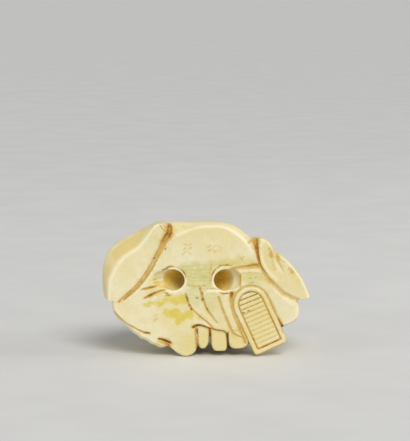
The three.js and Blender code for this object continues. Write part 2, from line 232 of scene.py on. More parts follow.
class Egg(Form):
    """A ball with three radii, turned about X."""

    def __init__(self, centre, radii, turn=0.0):
        self.centre, self.radii = np.array(centre, float), np.array(radii, float)
        self.cos, self.sin = np.cos(np.radians(turn)), np.sin(np.radians(turn))
        self.enclose(self.centre - max(radii), self.centre + max(radii))

    def __call__(self, x, y, z):
        x, y, z = x - self.centre[0], y - self.centre[1], z - self.centre[2]
        y, z = y * self.cos + z * self.sin, z * self.cos - y * self.sin
        a, b, c = self.radii
        k0 = np.sqrt((x / a) ** 2 + (y / b) ** 2 + (z / c) ** 2)
        k1 = np.sqrt((x / a**2) ** 2 + (y / b**2) ** 2 + (z / c**2) ** 2)
        return k0 * (k0 - 1) / np.maximum(k1, TINY)


class Limb(Form):
    """A round limb along a smooth route, through these radii at equal steps along it."""

    def __init__(self, route, radii, fineness=4):
        self.points = spline(route, fineness)
        steps = np.linspace(0, len(radii) - 1, len(self.points))
        self.radii = np.interp(steps, range(len(radii)), radii)
        self.enclose(self.points.min(0) - max(radii), self.points.max(0) + max(radii))

    def __call__(self, x, y, z):
        best = np.full(np.broadcast(x, y, z).shape, FAR, np.float32)
        pairs = zip(self.points, self.points[1:], self.radii, self.radii[1:])
        for a, b, ra, rb in pairs:
            run = b - a
            px, py, pz = x - a[0], y - a[1], z - a[2]
            t = np.clip((px * run[0] + py * run[1] + pz * run[2]) / max(run @ run, TINY), 0, 1)
            away = np.sqrt((px - t * run[0]) ** 2 + (py - t * run[1]) ** 2 + (pz - t * run[2]) ** 2)
            best = np.minimum(best, away - ra - t * (rb - ra))
        return best


def arch(inset):
    """The sandal's outline, `inset` inside its edge: a half circle over straight sides and a flat foot."""
    half = SANDAL["width"] / 2 - inset
    spring = SANDAL["length"] - SANDAL["width"] / 2
    turns = np.radians(np.arange(0, 181, 15))
    top = np.column_stack([half * np.cos(turns), spring + half * np.sin(turns)])
    bend = max(SANDAL["corner"] - inset, 0.01)
    quarter = np.radians(np.arange(0, 91, 30))
    left = np.column_stack([bend - bend * np.cos(quarter) - half, inset + bend - bend * np.sin(quarter)])
    right = left[::-1] * [-1, 1]
    return on_sandal(np.vstack([left, right, top]))


def on_sandal(points):
    """From the sandal's own axes, across and along it, to the plane of the seat."""
    lean = np.radians(SANDAL["lean"])
    across, along = np.asarray(points, float).T
    x = SANDAL["x"] + across * np.cos(lean) - along * np.sin(lean)
    z = SANDAL["z"] + across * np.sin(lean) + along * np.cos(lean)
    return np.column_stack([x, z])


def sandal_axes(x, z):
    """From the plane of the seat to the sandal's own axes."""
    lean = np.radians(SANDAL["lean"])
    x, z = x - SANDAL["x"], z - SANDAL["z"]
    return x * np.cos(lean) + z * np.sin(lean), z * np.cos(lean) - x * np.sin(lean)


# ---------------------------------------------------------------- the forms, with how softly each joins

# the edges at which the flat seat turns over into the robe's sides
TRUNK_RIDGE = [
    (-8.0, 23.0), (-6.25, 24.5), (-4.8, 25.2), (-3.0, 25.95), (-0.4, 26.5), (3.15, 26.5), (4.9, 25.8),
    (6.7, 24.6), (8.2, 23.1), (9.4, 21.3),
]
SLEEVE_RIDGE = [
    (-9.9, 26.9), (-10.8, 25.95), (-12.1, 23.95), (-13.8, 21.95), (-16.2, 20.45), (-17.9, 18.25),
    (-19.3, 15.5), (-19.6, 13.0), (-19.7, HEM_Z),
]


def trunk():
    hidden = [(11, 17), (8, 7), (-8, 7), (-12, 14)]
    wide = [
        (-9.0, 24.0), (-7.4, 26.9), (-2.8, 27.3), (1.7, 27.4), (4.7, 26.9), (7.0, 25.7), (9.7, 23.2),
        (11, 20),
    ]
    return Lobe(
        wide=closed([wide], hidden), face=closed([TRUNK_RIDGE], hidden),
        bevel=2.2, top=21.5, centre=(0.3, 15), lean=(-0.3, -3.5), bulge=2.6,
    )


def left_sleeve():
    hidden = [(-16.5, HEM_Z - 0.3), (-9, 15), (-5, 21)]
    wide = [
        (-7.0, 27.25), (-9.8, 27.2), (-12.7, 25.8), (-16.6, 23.8), (-19.3, 21.8), (-20.6, 19.2),
        (-21.0, 16.1), (-20.9, 13.4), (-20.5, HEM_Z),
    ]
    face = [(-7.0, 26.9), *SLEEVE_RIDGE]
    return Lobe(
        wide=closed([wide], hidden, True), face=closed([face], hidden, True),
        bevel=3.2, top=19, centre=(-13, 18), lean=(4.5, -3),
    )


def right_sleeve():
    hidden = [(18.3, HEM_Z + 0.1), (10, 13), (7, 19)]
    fold = [(9.4, 24.0), (10.9, 24.25), (12.4, 23.7), (13.4, 22.4), (13.9, 21.2)]
    outer = [
        (13.9, 21.2), (15.3, 20.6), (16.8, 19.3), (18.2, 17.7), (19.5, 15.8), (20.4, 13.9), (21.1, 12.1),
    ]

    inner = [shifted(line, -0.25, -0.15) for line in (fold, outer)]
    return Lobe(
        wide=closed([fold, outer], hidden, True), face=closed(inner, hidden, True),
        bevel=2, top=18.5, centre=(13, 17.5), lean=(-4.5, -2.5),
    )


def lap():
    """The robe over the lap: the hem that the toes come out from under, and the belly above it."""
    hidden = [(9, 7), (9, 14), (-9, 14), (-8, 8)]
    hem = [(-2.4, 6.45), (-0.4, 6.3), (1.1, 5.85), (4.1, 5.1)]
    swollen = [(-4.5, 4.2), (-0.4, 4.0), (3.0, 3.8), (7.0, 3.9)]
    return Lobe(
        wide=closed([swollen], hidden), face=closed([hem], hidden),
        bevel=4, top=12.5, centre=(0, 9.5), bulge=3,
    )


def knee(edge, hidden, inset, centre, lean, corner):
    face = shifted(edge, *inset)
    return Lobe(
        wide=closed([edge], hidden, corner), face=closed([face], hidden, corner),
        bevel=1.6, top=10.5, centre=centre, lean=lean, bulge=2.4,
    )


def knees():
    left = [
        (-18.95, 11.6), (-18.85, 9.3), (-17.8, 7.6), (-16.2, 6.1), (-14.8, 4.7), (-14.0, 4.25), (-13.2, 3.5),
        (-12.2, 3.2), (-11.2, 2.45), (-10.2, 2.1), (-9.4, 1.65), (-8.5, 1.7),
    ]
    right = [(18.3, 11.9), (18.8, 10.3), (18.9, 8.8), (18.5, 7.5), (17.1, 6.6), (15.6, 5.95)]
    return [
        knee(left, [(-7.7, 2.1), (-4, 7), (-6, 13), (-14, 15)], (0.5, 0.65), (-11, 8.5), (1.5, 0.5), True),
        knee(right, [(12.5, 3.2), (8, 6), (7, 12), (13, 15)], (-0.4, 0.35), (12, 8.5), (-1, 0.5), False),
    ]


def heel():
    edge = [(-7.6, 2.1), (-6.9, 1.5), (-5.8, 0.6), (-4.3, -0.15), (-3.0, 0.15), (-2.1, 1.0), (-1.7, 2.2)]
    hidden = [(-2.1, 5.5), (-5, 9), (-8.5, 6)]
    return Lobe(
        wide=closed([edge], hidden), face=closed([shifted(edge, 0, 0.45)], hidden),
        bevel=1.2, top=7.5, centre=(-5, 4.5), bulge=2.6,
    )


# the three toes under the hem: the outline of each, from its left side round its end to its right side
TOES = [
    [(-1.75, 5.5), (-1.7, 3.2), (-1.6, 2.3), (-1.1, 1.6), (-0.2, 1.6), (0.25, 2.1), (0.6, 3.0), (0.72, 5.5)],
    [(0.95, 5.5), (1.0, 3.4), (1.2, 2.0), (1.75, 1.12), (2.9, 1.03), (3.95, 1.12), (4.3, 2.0), (4.25, 3.6),
     (4.0, 5.5)],
    [(4.5, 5.5), (4.6, 3.0), (4.85, 2.1), (5.5, 1.62), (6.7, 1.58), (7.7, 1.75), (8.5, 2.5), (8.8, 4.0)],
]
TOE_ROOT = 7.5  # how far up behind the hem they go on


def toe(edge, base):
    """One toe under the hem, square with a rounded end."""
    middle = (edge[0][0] + edge[-1][0]) / 2

    def around(inset):
        line = [(x + inset * np.sign(middle - x), z + inset) for x, z in edge]
        first, last = line[0], line[-1]
        return [line, *segments([last, (last[0], TOE_ROOT), (first[0], TOE_ROOT), first])]

    return Lobe(
        wide=around(0), face=around(0.22), base=base, bevel=0.7, top=5.5, centre=(middle, 5), bulge=3
    )


def sandal():
    """The sole, and the foot that stands on it."""
    sole = Lobe(
        wide=segments(arch(0), True), face=segments(arch(0.12), True), bevel=0.3, top=SANDAL["thick"],
        centre=on_sandal([[0, 6]])[0], bulge=12,
    )
    edge = segments(arch(0.6), True)
    centre = on_sandal([[0, SANDAL["length"] * 0.45]])[0]
    foot = Lobe(wide=edge, face=edge, base=SANDAL["thick"] / 2, bevel=2.4, top=8.5, centre=centre)
    return sole, foot


def arm(side):
    """The upper arm, the sleeve from the elbow to the wrist, and the rim of its cuff."""

    def turned(x, y, z):
        return (side * x, y, z)

    shoulder, elbow, wrist = turned(6.6, 16.8, 13.8), turned(14.2, 10.8, 11.2), turned(6.8, 10.9, 3.5)
    turns = np.radians(np.arange(0, 361, 30))
    rim = [turned(4.6, 11.3 + 2.75 * np.cos(t), 3.1 + 2.65 * np.sin(t)) for t in turns]
    return [
        (Limb([shoulder, turned(11.6, 14.4, 13.4), elbow], [4.4, 4.8, 4.4]), 1.2),
        (Limb([elbow, turned(11.4, 9.8, 6.5), wrist], [4.4, 3.9, 3.3]), 1.0),
        (Egg(turned(6.8, 11.3, 3.1), (2.5, 3.3, 3.2)), 0.8),
        (Limb(rim, [0.42, 0.42], 2), 0.3),
    ]


def hand(side):
    """A hand on the lap: its back, four fingers and a thumb."""
    forms = [(Egg((side * 3.6, 11.3, 3.7), (2.4, 2.1, 1.9), 20), 0.3)]
    for k in range(4):
        y = 12.6 - 0.95 * k
        route = [(side * 3.6, y, 3.2), (side * 2.0, y - 0.1, 2.5), (side * 0.7, y - 0.4, 3.2)]
        forms.append((Limb(route, [0.62, 0.6, 0.5], 3), 0.15))
    thumb = [(side * 4.2, 13.0, 4.0), (side * 2.6, 13.6, 3.6), (side * 1.4, 13.2, 3.9)]
    return [*forms, (Limb(thumb, [0.7, 0.65, 0.5], 3), 0.2)]


def on_head(across, up, out):
    """A point on the bowed head: across it, towards the crown, and out through the face."""
    bow = np.radians(HEAD["bow"])
    return (
        across,
        HEAD["y"] + up * np.cos(bow) - out * np.sin(bow),
        HEAD["z"] - up * np.sin(bow) - out * np.cos(bow),
    )


def head():
    """A bald head with a calm, plain face, built from eggs and short limbs."""
    turn = -HEAD["bow"]
    forms = [
        (Egg((0, HEAD["y"], HEAD["z"]), (HEAD["across"], HEAD["along"], HEAD["front"]), turn), 0.5),
        (Limb([(0, 16.5, 14.0), (0, 20.5, 12.0), (0, 23.5, 10.0)], [5.2, 4.6, 4.6]), 1.2),
        (Egg(on_head(0, -4.2, 2.6), (4.4, 3.9, 4.2), turn), 2.0),
        (Egg(on_head(0, -5.9, 5.0), (1.7, 1.1, 1.3), turn), 1.0),
        (Limb([on_head(0, 1.0, 6.6), on_head(0, -0.6, 7.0), on_head(0, -2.0, 7.3)], [0.3, 0.6, 0.9]), 0.7),
        (Egg(on_head(0, -2.1, 7.2), (1.2, 0.8, 0.95), turn), 0.4),
    ]
    # the two lips
    for half, up, middle_up, out, thick in ((1.5, -3.55, -3.4, 6.5, 0.45), (1.2, -4.35, -4.45, 6.3, 0.5)):
        route = [on_head(-half, up, out), on_head(0, middle_up, out + 0.45), on_head(half, up, out)]
        forms.append((Limb(route, [0.2, thick, 0.2]), 0.3))
    for side in (-1, 1):
        brow = [on_head(side * 1.0, 1.2, 6.8), on_head(side * 2.8, 1.6, 6.3), on_head(side * 4.4, 0.9, 5.1)]
        forms += [
            (Limb(brow, [0.35, 0.55, 0.3]), 0.9),
            (Egg(on_head(side * 2.5, -0.35, 5.75), (1.35, 0.95, 0.95), turn), 0.4),
            (Egg(on_head(side * 3.3, -2.6, 5.0), (1.9, 1.6, 1.5), turn), 1.4),
        ]
    return forms


EYELID = [(1.4, -0.7, 6.7), (2.6, -0.95, 6.5), (3.7, -0.6, 5.8)]
MOUTH = [on_head(-1.5, -3.95, 6.7), on_head(0, -3.9, 7.1), on_head(1.5, -3.95, 6.7)]


def ear(side):
    edge = HEAD["across"] - 0.15
    rim = [
        on_head(side * (edge + 0.1), -2.6, 0.6), on_head(side * (edge + 0.6), -0.8, -0.6),
        on_head(side * (edge + 0.5), 0.9, -0.3), on_head(side * (edge + 0.1), 0.9, 0.9),
        on_head(side * (edge - 0.1), -0.2, 1.2),
    ]
    lobe = Egg(on_head(side * (edge + 0.1), -2.5, 0.7), (0.5, 0.9, 0.6), -HEAD["bow"])
    return [(Limb(rim, [0.45, 0.5, 0.45, 0.4, 0.35]), 0.25), (lobe, 0.3)]


def collar():
    route = [
        (-3.4, 13.5, 5.2), (-5.4, 17.5, 8.2), (-5.8, 20.3, 13.0), (0, 21.2, 17.4), (5.8, 20.3, 13.0),
        (5.4, 17.5, 8.2), (2.2, 13.5, 5.0),
    ]
    return Limb(route, [1.1, 1.3, 1.4, 1.3, 1.1])


# ---------------------------------------------------------------- what is cut into the seat

# Each groove: its points in the plane of the seat, then its widths, its depths and how dark its tint is:
# grime in most grooves, painted shadow where noted.
# Each of the last three is spread evenly along the groove.
GROOVES = [
    # between the left sleeve and the back, and the darker line along its right side
    ([(-7.1, 27.7), (-7.25, 26.3), (-7.4, 25.1), (-8.1, 24.1), (-8.67, 22.96), (-9.24, 21.7), (-10.1, 20.1),
      (-10.95, 18.5), (-11.94, 17.0), (-12.94, 15.55), (-14.2, 14.1), (-15.5, 13.0), (-16.7, 12.0),
      (-17.5, 11.2)],
     (1.0, 1.2, 1.25, 1.15, 1.0, 0.85, 0.65, 0.5), (0.95, 0.8, 0.6, 0.5, 0.42, 0.4),
     (1.1, 1.05, 0.5, 0.42, 0.44, 0.4, 0.4)),
    ([(-8.9, 22.0), (-9.85, 19.95), (-10.7, 18.3), (-11.7, 16.8), (-12.7, 15.35), (-13.95, 13.95),
      (-15.25, 12.8), (-16.5, 11.8)],
     (0.4, 0.45, 0.4), (0.5, 0.6, 0.55), (0.5, 0.68, 0.66, 0.6, 0.76)),
    # the wedge between the right sleeve and the back, and on between the sleeve and the knee
    ([(9.6, 24.4), (10.0, 23.2), (10.3, 21.6), (10.5, 20.4), (10.9, 18.8), (11.6, 17.5)],
     (1.8, 0.8, 0.6, 0.5, 0.6), (1.0, 0.7, 0.5), (0.75, 0.95, 0.85, 0.6, 0.5)),
    ([(11.6, 17.5), (12.4, 16.1), (13.5, 14.8), (15.1, 13.2), (16.6, 12.3), (18.6, 11.4)],
     (0.7, 1.3, 1.2), (0.45, 0.4, 0.35), (0.55, 0.42, 0.3, 0.3)),
    # the strip over the sandal, and the thin line that ends it
    ([(5.0, 18.0), (6.8, 18.2), (8.2, 18.35), (9.4, 18.55), (10.4, 18.6)],
     (0.4, 0.6, 0.8, 0.95), (0.15, 0.3, 0.45), (0.4, 0.55, 0.7, 0.7)),
    ([(6.94, 16.9), (7.0, 15.8), (6.9, 14.4)], (0.3, 0.3), (0.12, 0.12), (0.65, 0.6)),
    # the folds of the robe between the cord holes and the toes
    ([(-4.1, 12.8), (-3.4, 10.6), (-2.4, 9.3), (-1.1, 8.1), (0.3, 7.0), (1.4, 5.9)],
     (0.4, 0.5, 0.45, 0.4), (0.2, 0.3, 0.3), (0.6, 0.5, 0.28, 0.32)),
    ([(-1.3, 14.4), (-0.7, 12.2), (0.2, 9.7), (1.2, 8.3), (2.2, 7.0)],
     (0.3, 0.45, 0.45, 0.3), (0.15, 0.28, 0.2), (0.6, 0.5, 0.3)),
    ([(2.5, 12.2), (3.4, 9.6), (4.3, 7.3), (5.2, 5.2), (6.0, 4.4), (7.7, 3.7)],
     (0.4, 0.6, 0.7, 0.5), (0.2, 0.35, 0.4), (0.42, 0.45, 0.5)),
    ([(5.2, 12.9), (5.1, 11.4), (5.6, 8.8), (6.6, 6.3), (8.0, 2.8)],
     (0.8, 0.6, 0.65, 0.6), (0.5, 0.4, 0.5), (0.85, 0.5, 0.5, 0.55)),
    # the fine lines ruled between the two cord holes
    ([(-3.6, 14.6), (-1.6, 14.5), (0.2, 14.6)], (0.2, 0.22), (0.05, 0.05), (0.5, 0.4)),
    ([(-1.2, 16.35), (0.8, 16.3)], (0.18, 0.2), (0.04, 0.04), (0.4, 0.4)),
    ([(1.15, 18.9), (0.75, 16.6), (0.9, 14.4)], (0.2, 0.2), (0.05, 0.05), (0.5, 0.4)),
    ([(0.1, 13.75), (1.9, 13.8), (3.8, 13.4)], (0.4, 0.5), (0.14, 0.14), (0.25, 0.25)),
    # the two strokes beside the left cord hole
    ([(-12.85, 13.75), (-11.3, 14.1), (-10.1, 14.4), (-8.9, 15.0)],
     (0.3, 0.45, 0.4, 0.3), (0.2, 0.4, 0.2), (0.85, 0.9, 0.55, 0.4)),
    ([(-12.4, 12.0), (-11.2, 12.55), (-10.1, 13.1), (-8.2, 13.75)],
     (0.3, 0.5, 0.45, 0.3), (0.2, 0.4, 0.2), (0.8, 0.95, 0.7, 0.5)),
    # the streaks of the cord's wear on the left of the left hole
    ([(-10.6, 15.7), (-9.6, 15.9), (-8.9, 16.1)], (0.25, 0.3), (0.06, 0.06), (0.6, 0.55)),
    ([(-10.4, 15.1), (-9.5, 15.2), (-8.8, 15.2)], (0.25, 0.3), (0.06, 0.06), (0.65, 0.5)),
    # the hem over the toes, its dark painted as the shadow under the hem
    ([(-2.6, 6.05), (-1.9, 6.4), (-1.2, 6.45), (-0.4, 6.25), (0.7, 5.85), (2.4, 5.45), (3.8, 5.15),
      (4.2, 4.2), (4.6, 2.4)],
     (0.48, 0.42, 0.32, 0.38), (0.75, 0.65, 0.6), (1.0, 0.95, 0.62, 0.55, 0.75)),
    # between the toes, their dark painted as shade
    ([(-2.1, 6.2), (-2.0, 4.2), (-1.75, 1.7)], (0.45, 0.5), (0.7, 0.8), (0.5, 0.42, 0.75)),
    ([(0.8, 5.8), (0.85, 4.2), (0.9, 2.6)], (0.4, 0.4), (0.8, 1.2), (0.95, 0.85)),
    # under the edge of the left knee
    ([(-18.5, 9.2), (-17.2, 7.85), (-15.9, 6.8), (-14.4, 5.9), (-12.9, 5.15), (-11.4, 4.8)],
     (0.28, 0.3, 0.3, 0.35), (0.18, 0.25, 0.3), (0.45, 0.5, 0.6, 0.9)),
    ([(-9.5, 3.7), (-8.8, 3.5), (-7.9, 3.15), (-7.2, 2.9)],
     (0.35, 0.6, 0.5), (0.3, 0.6, 0.5), (1.1, 1.15, 1.0)),
    ([(-9.3, 3.3), (-8.3, 2.8), (-7.6, 2.3)], (0.9, 0.9, 0.7), (0.2, 0.4, 0.5), (0.42, 0.6, 0.8)),
    # the incised corner at the tip of the left sleeve
    ([(-9.2, 26.8), (-8.6, 26.0), (-8.05, 25.4)], (0.25, 0.3), (0.14, 0.14), (0.45, 0.5)),
    ([(-8.6, 26.9), (-8.1, 26.3), (-7.75, 26.0)], (0.25, 0.3), (0.14, 0.14), (0.45, 0.5)),
    # the fold that parts the right sleeve's two leaves
    ([(14.2, 21.5), (14.3, 20.5), (14.5, 19.3), (15.0, 18.2), (15.6, 17.3)],
     (1.0, 0.8, 0.5), (0.45, 0.25, 0.1), (0.5, 0.4, 0.15)),
    # the shadow line where the sandal meets the right knee, painted dark in a shallow groove
    ([(14.5, 7.9), (15.0, 6.9), (15.7, 5.7)], (0.4, 0.5, 0.6), (0.3, 0.4), (0.9, 1.1, 1.2)),
]

# The edges with a painted highlight, a pale line along each, under the width of that line.
HIGHLIGHTED_EDGES = {
    0.34: [
        SLEEVE_RIDGE, TRUNK_RIDGE,
        [(11.5, 23.6), (11.0, 22.8), (10.95, 21.9), (11.2, 20.3), (11.75, 18.8), (12.8, 17.1), (14.3, 15.7)],
        [(12.9, 23.4), (13.7, 22.2), (13.9, 20.8), (14.1, 19.4), (14.6, 18.4), (15.1, 17.6)],
        [(14.4, 21.2), (15.7, 20.4), (17.1, 19.0), (18.5, 17.3), (19.6, 15.5), (20.3, 13.8), (20.8, 12.3)],
        [(5.3, 17.5), (7.0, 17.55), (8.4, 17.75), (10.0, 17.7), (11.4, 17.4)],
        [(11.9, 16.8), (12.8, 14.9), (14.8, 12.7), (17.0, 11.1), (18.2, 10.5)],
        [(-17.6, 7.9), (-15.6, 6.2), (-13.6, 4.7), (-12.2, 4.0), (-10.6, 3.0)],
    ],
    0.32: [
        [(-7.9, 23.6), (-9.2, 20.6), (-10.2, 18.6), (-11.3, 16.7), (-12.3, 15.3), (-13.7, 13.8),
         (-15.6, 12.2)],
    ],
    0.3: [
        [(0.4, 13.55), (2.2, 13.4), (3.4, 13.2), (4.6, 12.6)],
        [(18.3, 10.6), (18.5, 8.9), (18.0, 7.7), (16.6, 6.9)],
        [(-18.6, 10.8), (-18.2, 9.6), (-17.0, 8.3)],
    ],
}

# The thin dark cuts round the cord holes: the centre and the radii of each ring, and the stretches of it
# that are cut, in degrees.
RINGS = [
    ((-6.7, 15.55), (2.8, 2.9), ((5, 70), (70, 142), (232, 262))),
    ((4.1, 15.8), (3.0, 2.95), ((70, 110), (110, 190), (238, 275))),
]
RING_CUT = {"width": 0.3, "depth": 0.14, "dirt": 0.9, "soot": 0.8}
# The lips of the holes, with a painted highlight: centre, radii, and the stretch of each that shines.
LIPS = [((-6.7, 15.65), (2.45, 2.5), -130, 140), ((4.1, 15.8), (2.75, 2.6), 70, 262)]

# The shallow strokes: the middle of each group, its columns and its rows. None of them is a letter.
STROKE = {"across": 1.05, "up": 0.85, "half": 0.33}  # the pitch both ways, and half a stroke's length
STROKE_CUT = ((0.36, 0.42), (0.08, 0.1), (0.24, 0.3))  # widths, depths and dirt
STROKE_GROUPS = [((-3.9, 22.0), 2, 3), ((1.6, 22.0), 3, 2), ((7.2, 20.1), 1, 1), ((-10.2, 8.0), 1, 2)]
STROKE_TILTS = (0.28, -0.08, 0.16, -0.26, 0.04)

# Flat steps down from the seat: the outline, the depth, and how soft the edge is.
STEPS = [
    # two toes, then the toe beside the sandal, then the ground between the strip, the sandal and the knee
    ([(-2.3, 6.2), (-1.4, 6.45), (0.8, 5.85), (3.9, 5.1), (4.3, 4.0), (4.6, 1.9), (4.6, -2), (-1.6, -2),
      (-1.85, 2)],
     TOE_STEP, 0.12),
    ([(4.6, 1.9), (5.3, 4.9), (6.2, 4.3), (7.8, 3.7), (8.6, 1.5), (8.6, -2), (4.6, -2)], LAST_TOE_STEP, 0.2),
    ([(10.9, 17.2), (12.0, 15.6), (14.0, 13.7), (13.2, 12.0), (11.6, 13.8), (9.5, 15.0), (7.2, 14.8),
      (7.2, 17.2)],
     0.12, 0.3),
]


def spread(values, along):
    """These values, spread evenly over a way that runs from 0 to 1."""
    return np.interp(along, np.linspace(0, 1, len(values)), values)


def near_line(distance, width):
    """1 on a line, falling to 0 over about this width beside it."""
    return np.exp(-((distance / width) ** 2))


class Seat:
    """The carving on the seat: how deep each place is cut, and how much grime and soot lies there, with
    painted shadow in the same table along a few edges.
    """

    STEP = 0.08
    DARK_REACH = 1.15  # how wide a groove's dark tint is, as a share of the groove's width
    HALO_REACH = 2.4  # how wide the faint halo round the dark tint is, as a share of the tint's width
    CORE_SHARE, HALO_SHARE = 0.72, 0.28

    def __init__(self):
        self.tables = [Table(self.STEP) for _ in range(3)]
        self.depth, self.dirt, self.soot = self.tables
        self.x, self.z = self.depth.x, self.depth.z
        for table in self.tables:
            table.values = np.zeros(self.x.shape)
        for step in STEPS:
            self.step(*step)
        for points, *cut in GROOVES:
            self.groove(spline(points, 5), *cut)
        for ring in RINGS:
            self.ring(*ring)
        for group in STROKE_GROUPS:
            self.strokes(*group)
        self.sole()
        for table in self.tables:
            table.values = table.values.astype(np.float32)

    def region(self, points, reach):
        low, high = points.min(0) - reach, points.max(0) + reach
        start = np.maximum(((low - Table.LOW) / self.STEP).astype(int), 0)
        end = ((high - Table.LOW) / self.STEP).astype(int) + 2
        return slice(start[0], end[0]), slice(start[1], end[1])

    def lay(self, table, where, values):
        table.values[where] = np.maximum(table.values[where], values)

    def inward(self, where, points):
        """How far each place lies inside a closed outline, negative outside it."""
        x, z = self.x[where], self.z[where]
        distance, _ = line_distance(x, z, points, True)
        return np.where(inside(x, z, points), distance, -distance)

    def groove(self, points, widths, depths, dirt, soot=0.0):
        """A groove with a round floor and round ends, and a dark tint that reaches a little past its edges;
        in most grooves it is grime, in a few painted shadow.
        """
        where = self.region(points, 2.0)
        distance, along = line_distance(self.x[where], self.z[where], points)
        half = spread(widths, along) / 2
        profile = np.clip(1 - (distance / half) ** 2, 0, 1) ** 0.8
        self.lay(self.depth, where, profile * spread(depths, along))
        reach = half * self.DARK_REACH
        core, halo = near_line(distance, reach), near_line(distance, self.HALO_REACH * reach)
        shade = self.CORE_SHARE * core + self.HALO_SHARE * halo
        self.lay(self.dirt, where, shade * spread(dirt, along))
        self.lay(self.soot, where, near_line(distance, half) * soot)

    def step(self, points, depth, soft):
        points = np.array(points, float)
        where = self.region(points, 1.0)
        self.lay(self.depth, where, depth * np.clip(self.inward(where, points) / soft + 0.5, 0, 1))

    def ring(self, centre, radii, stretches):
        taper = np.array([0.4, 1, 0.4])
        width, depth, dirt = (RING_CUT[name] * taper for name in ("width", "depth", "dirt"))
        for first, last in stretches:
            self.groove(oval(centre, radii, first, last, 12), width, depth, dirt, RING_CUT["soot"])

    def strokes(self, middle, columns, rows):
        for column in range(columns):
            for row in range(rows):
                x = middle[0] + STROKE["across"] * (column - (columns - 1) / 2)
                z = middle[1] + STROKE["up"] * (row - (rows - 1) / 2)
                tilt = STROKE_TILTS[(3 * column + 2 * row) % len(STROKE_TILTS)]
                points = np.array([[x - STROKE["half"], z - tilt], [x + STROKE["half"], z + tilt]])
                self.groove(points, *STROKE_CUT)

    def sole(self):
        """The straw sole: a rim, a panel a little below it, and lines ruled across the panel."""
        outer = arch(0)
        where = self.region(outer, 1.5)
        within = self.inward(where, outer)
        from_panel = self.inward(where, arch(SANDAL["rim"]))
        across, along = sandal_axes(self.x[where], self.z[where])
        on_sole, panel = within > 0, from_panel > 0
        # nothing else is cut into the sandal
        for table in self.tables:
            table.values[where] = np.where(on_sole, 0, table.values[where])
        # what lies beside the sandal falls away to its edge, with a painted shadow line along it, a little
        # paler beside its upper part
        ditch_width, ditch_depth, upper_part = 0.75, 0.5, 9
        beside = np.clip(1 + within / ditch_width, 0, 1) * (within < 0)
        self.lay(self.depth, where, ditch_depth * beside**1.5)
        self.lay(self.dirt, where, near_line(within, 0.27) * np.where(along > upper_part, 0.4, 0.5))
        # the rim is rounded over
        round_width, round_depth = 0.5, 0.22
        rim = np.clip(within / round_width, 0, 1)
        self.lay(self.depth, where, np.where(on_sole, round_depth * (1 - rim) ** 2, 0))
        # the panel's edge, with less dirt on the way up
        edge, edge_depth = near_line(from_panel, 0.17), 0.4
        self.lay(self.depth, where, edge_depth * edge)
        self.lay(self.dirt, where, edge * np.clip(1.0 - 0.045 * along, 0.5, 0.95))
        # the panel's lines, of which the upper ones dip to the left
        dip = 0.06 * np.clip((along - 6) / 6, 0, 1)
        row = (along - SANDAL["rim"]) / SLAT_PITCH + dip * across
        from_line = np.abs(row - np.round(row)) * SLAT_PITCH
        panel_depth, line_depth = 0.12, 0.16
        slat = panel_depth + line_depth * near_line(from_line, 0.16)
        self.lay(self.depth, where, np.where(panel, slat, 0))
        # the upper lines are darker, and hold soot
        worn = np.clip(0.25 + 0.75 * (along - 5) / 7, 0.25, 1)
        line = near_line(from_line, 0.15) * panel
        self.lay(self.dirt, where, line * (0.18 + 0.5 * worn))
        self.lay(self.soot, where, line * np.clip(worn - 0.45, 0, 1) * 1.9)


# ---------------------------------------------------------------- the whole carving, as one field

# The robe's folds on the right side, mirrored for the left one: a route that is then laid on the surface,
# the radii of the fold along it, and whether it is cut in, or stands proud.
FOLDS = [
    ([(8.9, 6.0, 24.4), (8.4, 9, 23.6), (7.4, 13, 21.6), (5.2, 17.5, 19.5)], (0.05, 0.65, 0.6, 0.1), True),
    ([(3.4, 6.5, 27.0), (3.2, 9.5, 26), (2.8, 13, 24), (1.9, 17.5, 21)], (0.05, 0.5, 0.5, 0.1), True),
    ([(6.2, 6.5, 25.6), (5.9, 9.5, 24.9), (5.2, 13, 23), (3.6, 17.5, 20.5)], (0.05, 0.45, 0.5, 0.1), False),
    ([(15.6, 6.5, 20.3), (14.2, 9.5, 19.3), (12.2, 13, 18), (9.2, 17, 17)], (0.05, 0.65, 0.6, 0.1), True),
    ([(12.6, 6.5, 22.8), (11.6, 9.5, 21.9), (9.9, 13, 20.2), (7.4, 17, 18.6)], (0.05, 0.5, 0.5, 0.1), False),
    ([(18.2, 6.5, 17.6), (16.8, 9.5, 17), (14.6, 13, 16.6), (11.4, 16.4, 16.2)],
     (0.05, 0.5, 0.45, 0.05), True),
    ([(17.2, 8.6, 8.6), (16.4, 10.6, 9), (14.6, 13.6, 9.8), (12.2, 15.6, 11)], (0.05, 0.5, 0.5, 0.1), True),
    ([(14.6, 7.6, 4.6), (13.6, 9.6, 4.2), (12, 12.6, 5), (10.4, 14.2, 6.6)], (0.05, 0.5, 0.45, 0.1), True),
    ([(10.4, 8.2, 1.9), (9.4, 10.2, 1.2), (8.6, 13.0, 2.2), (8.2, 14.6, 4.0)], (0.05, 0.4, 0.35, 0.1), True),
]


FOLD_CREASE, FOLD_RIDGE, LINE_CREASE = 0.55, 0.9, 0.12  # how softly each joins


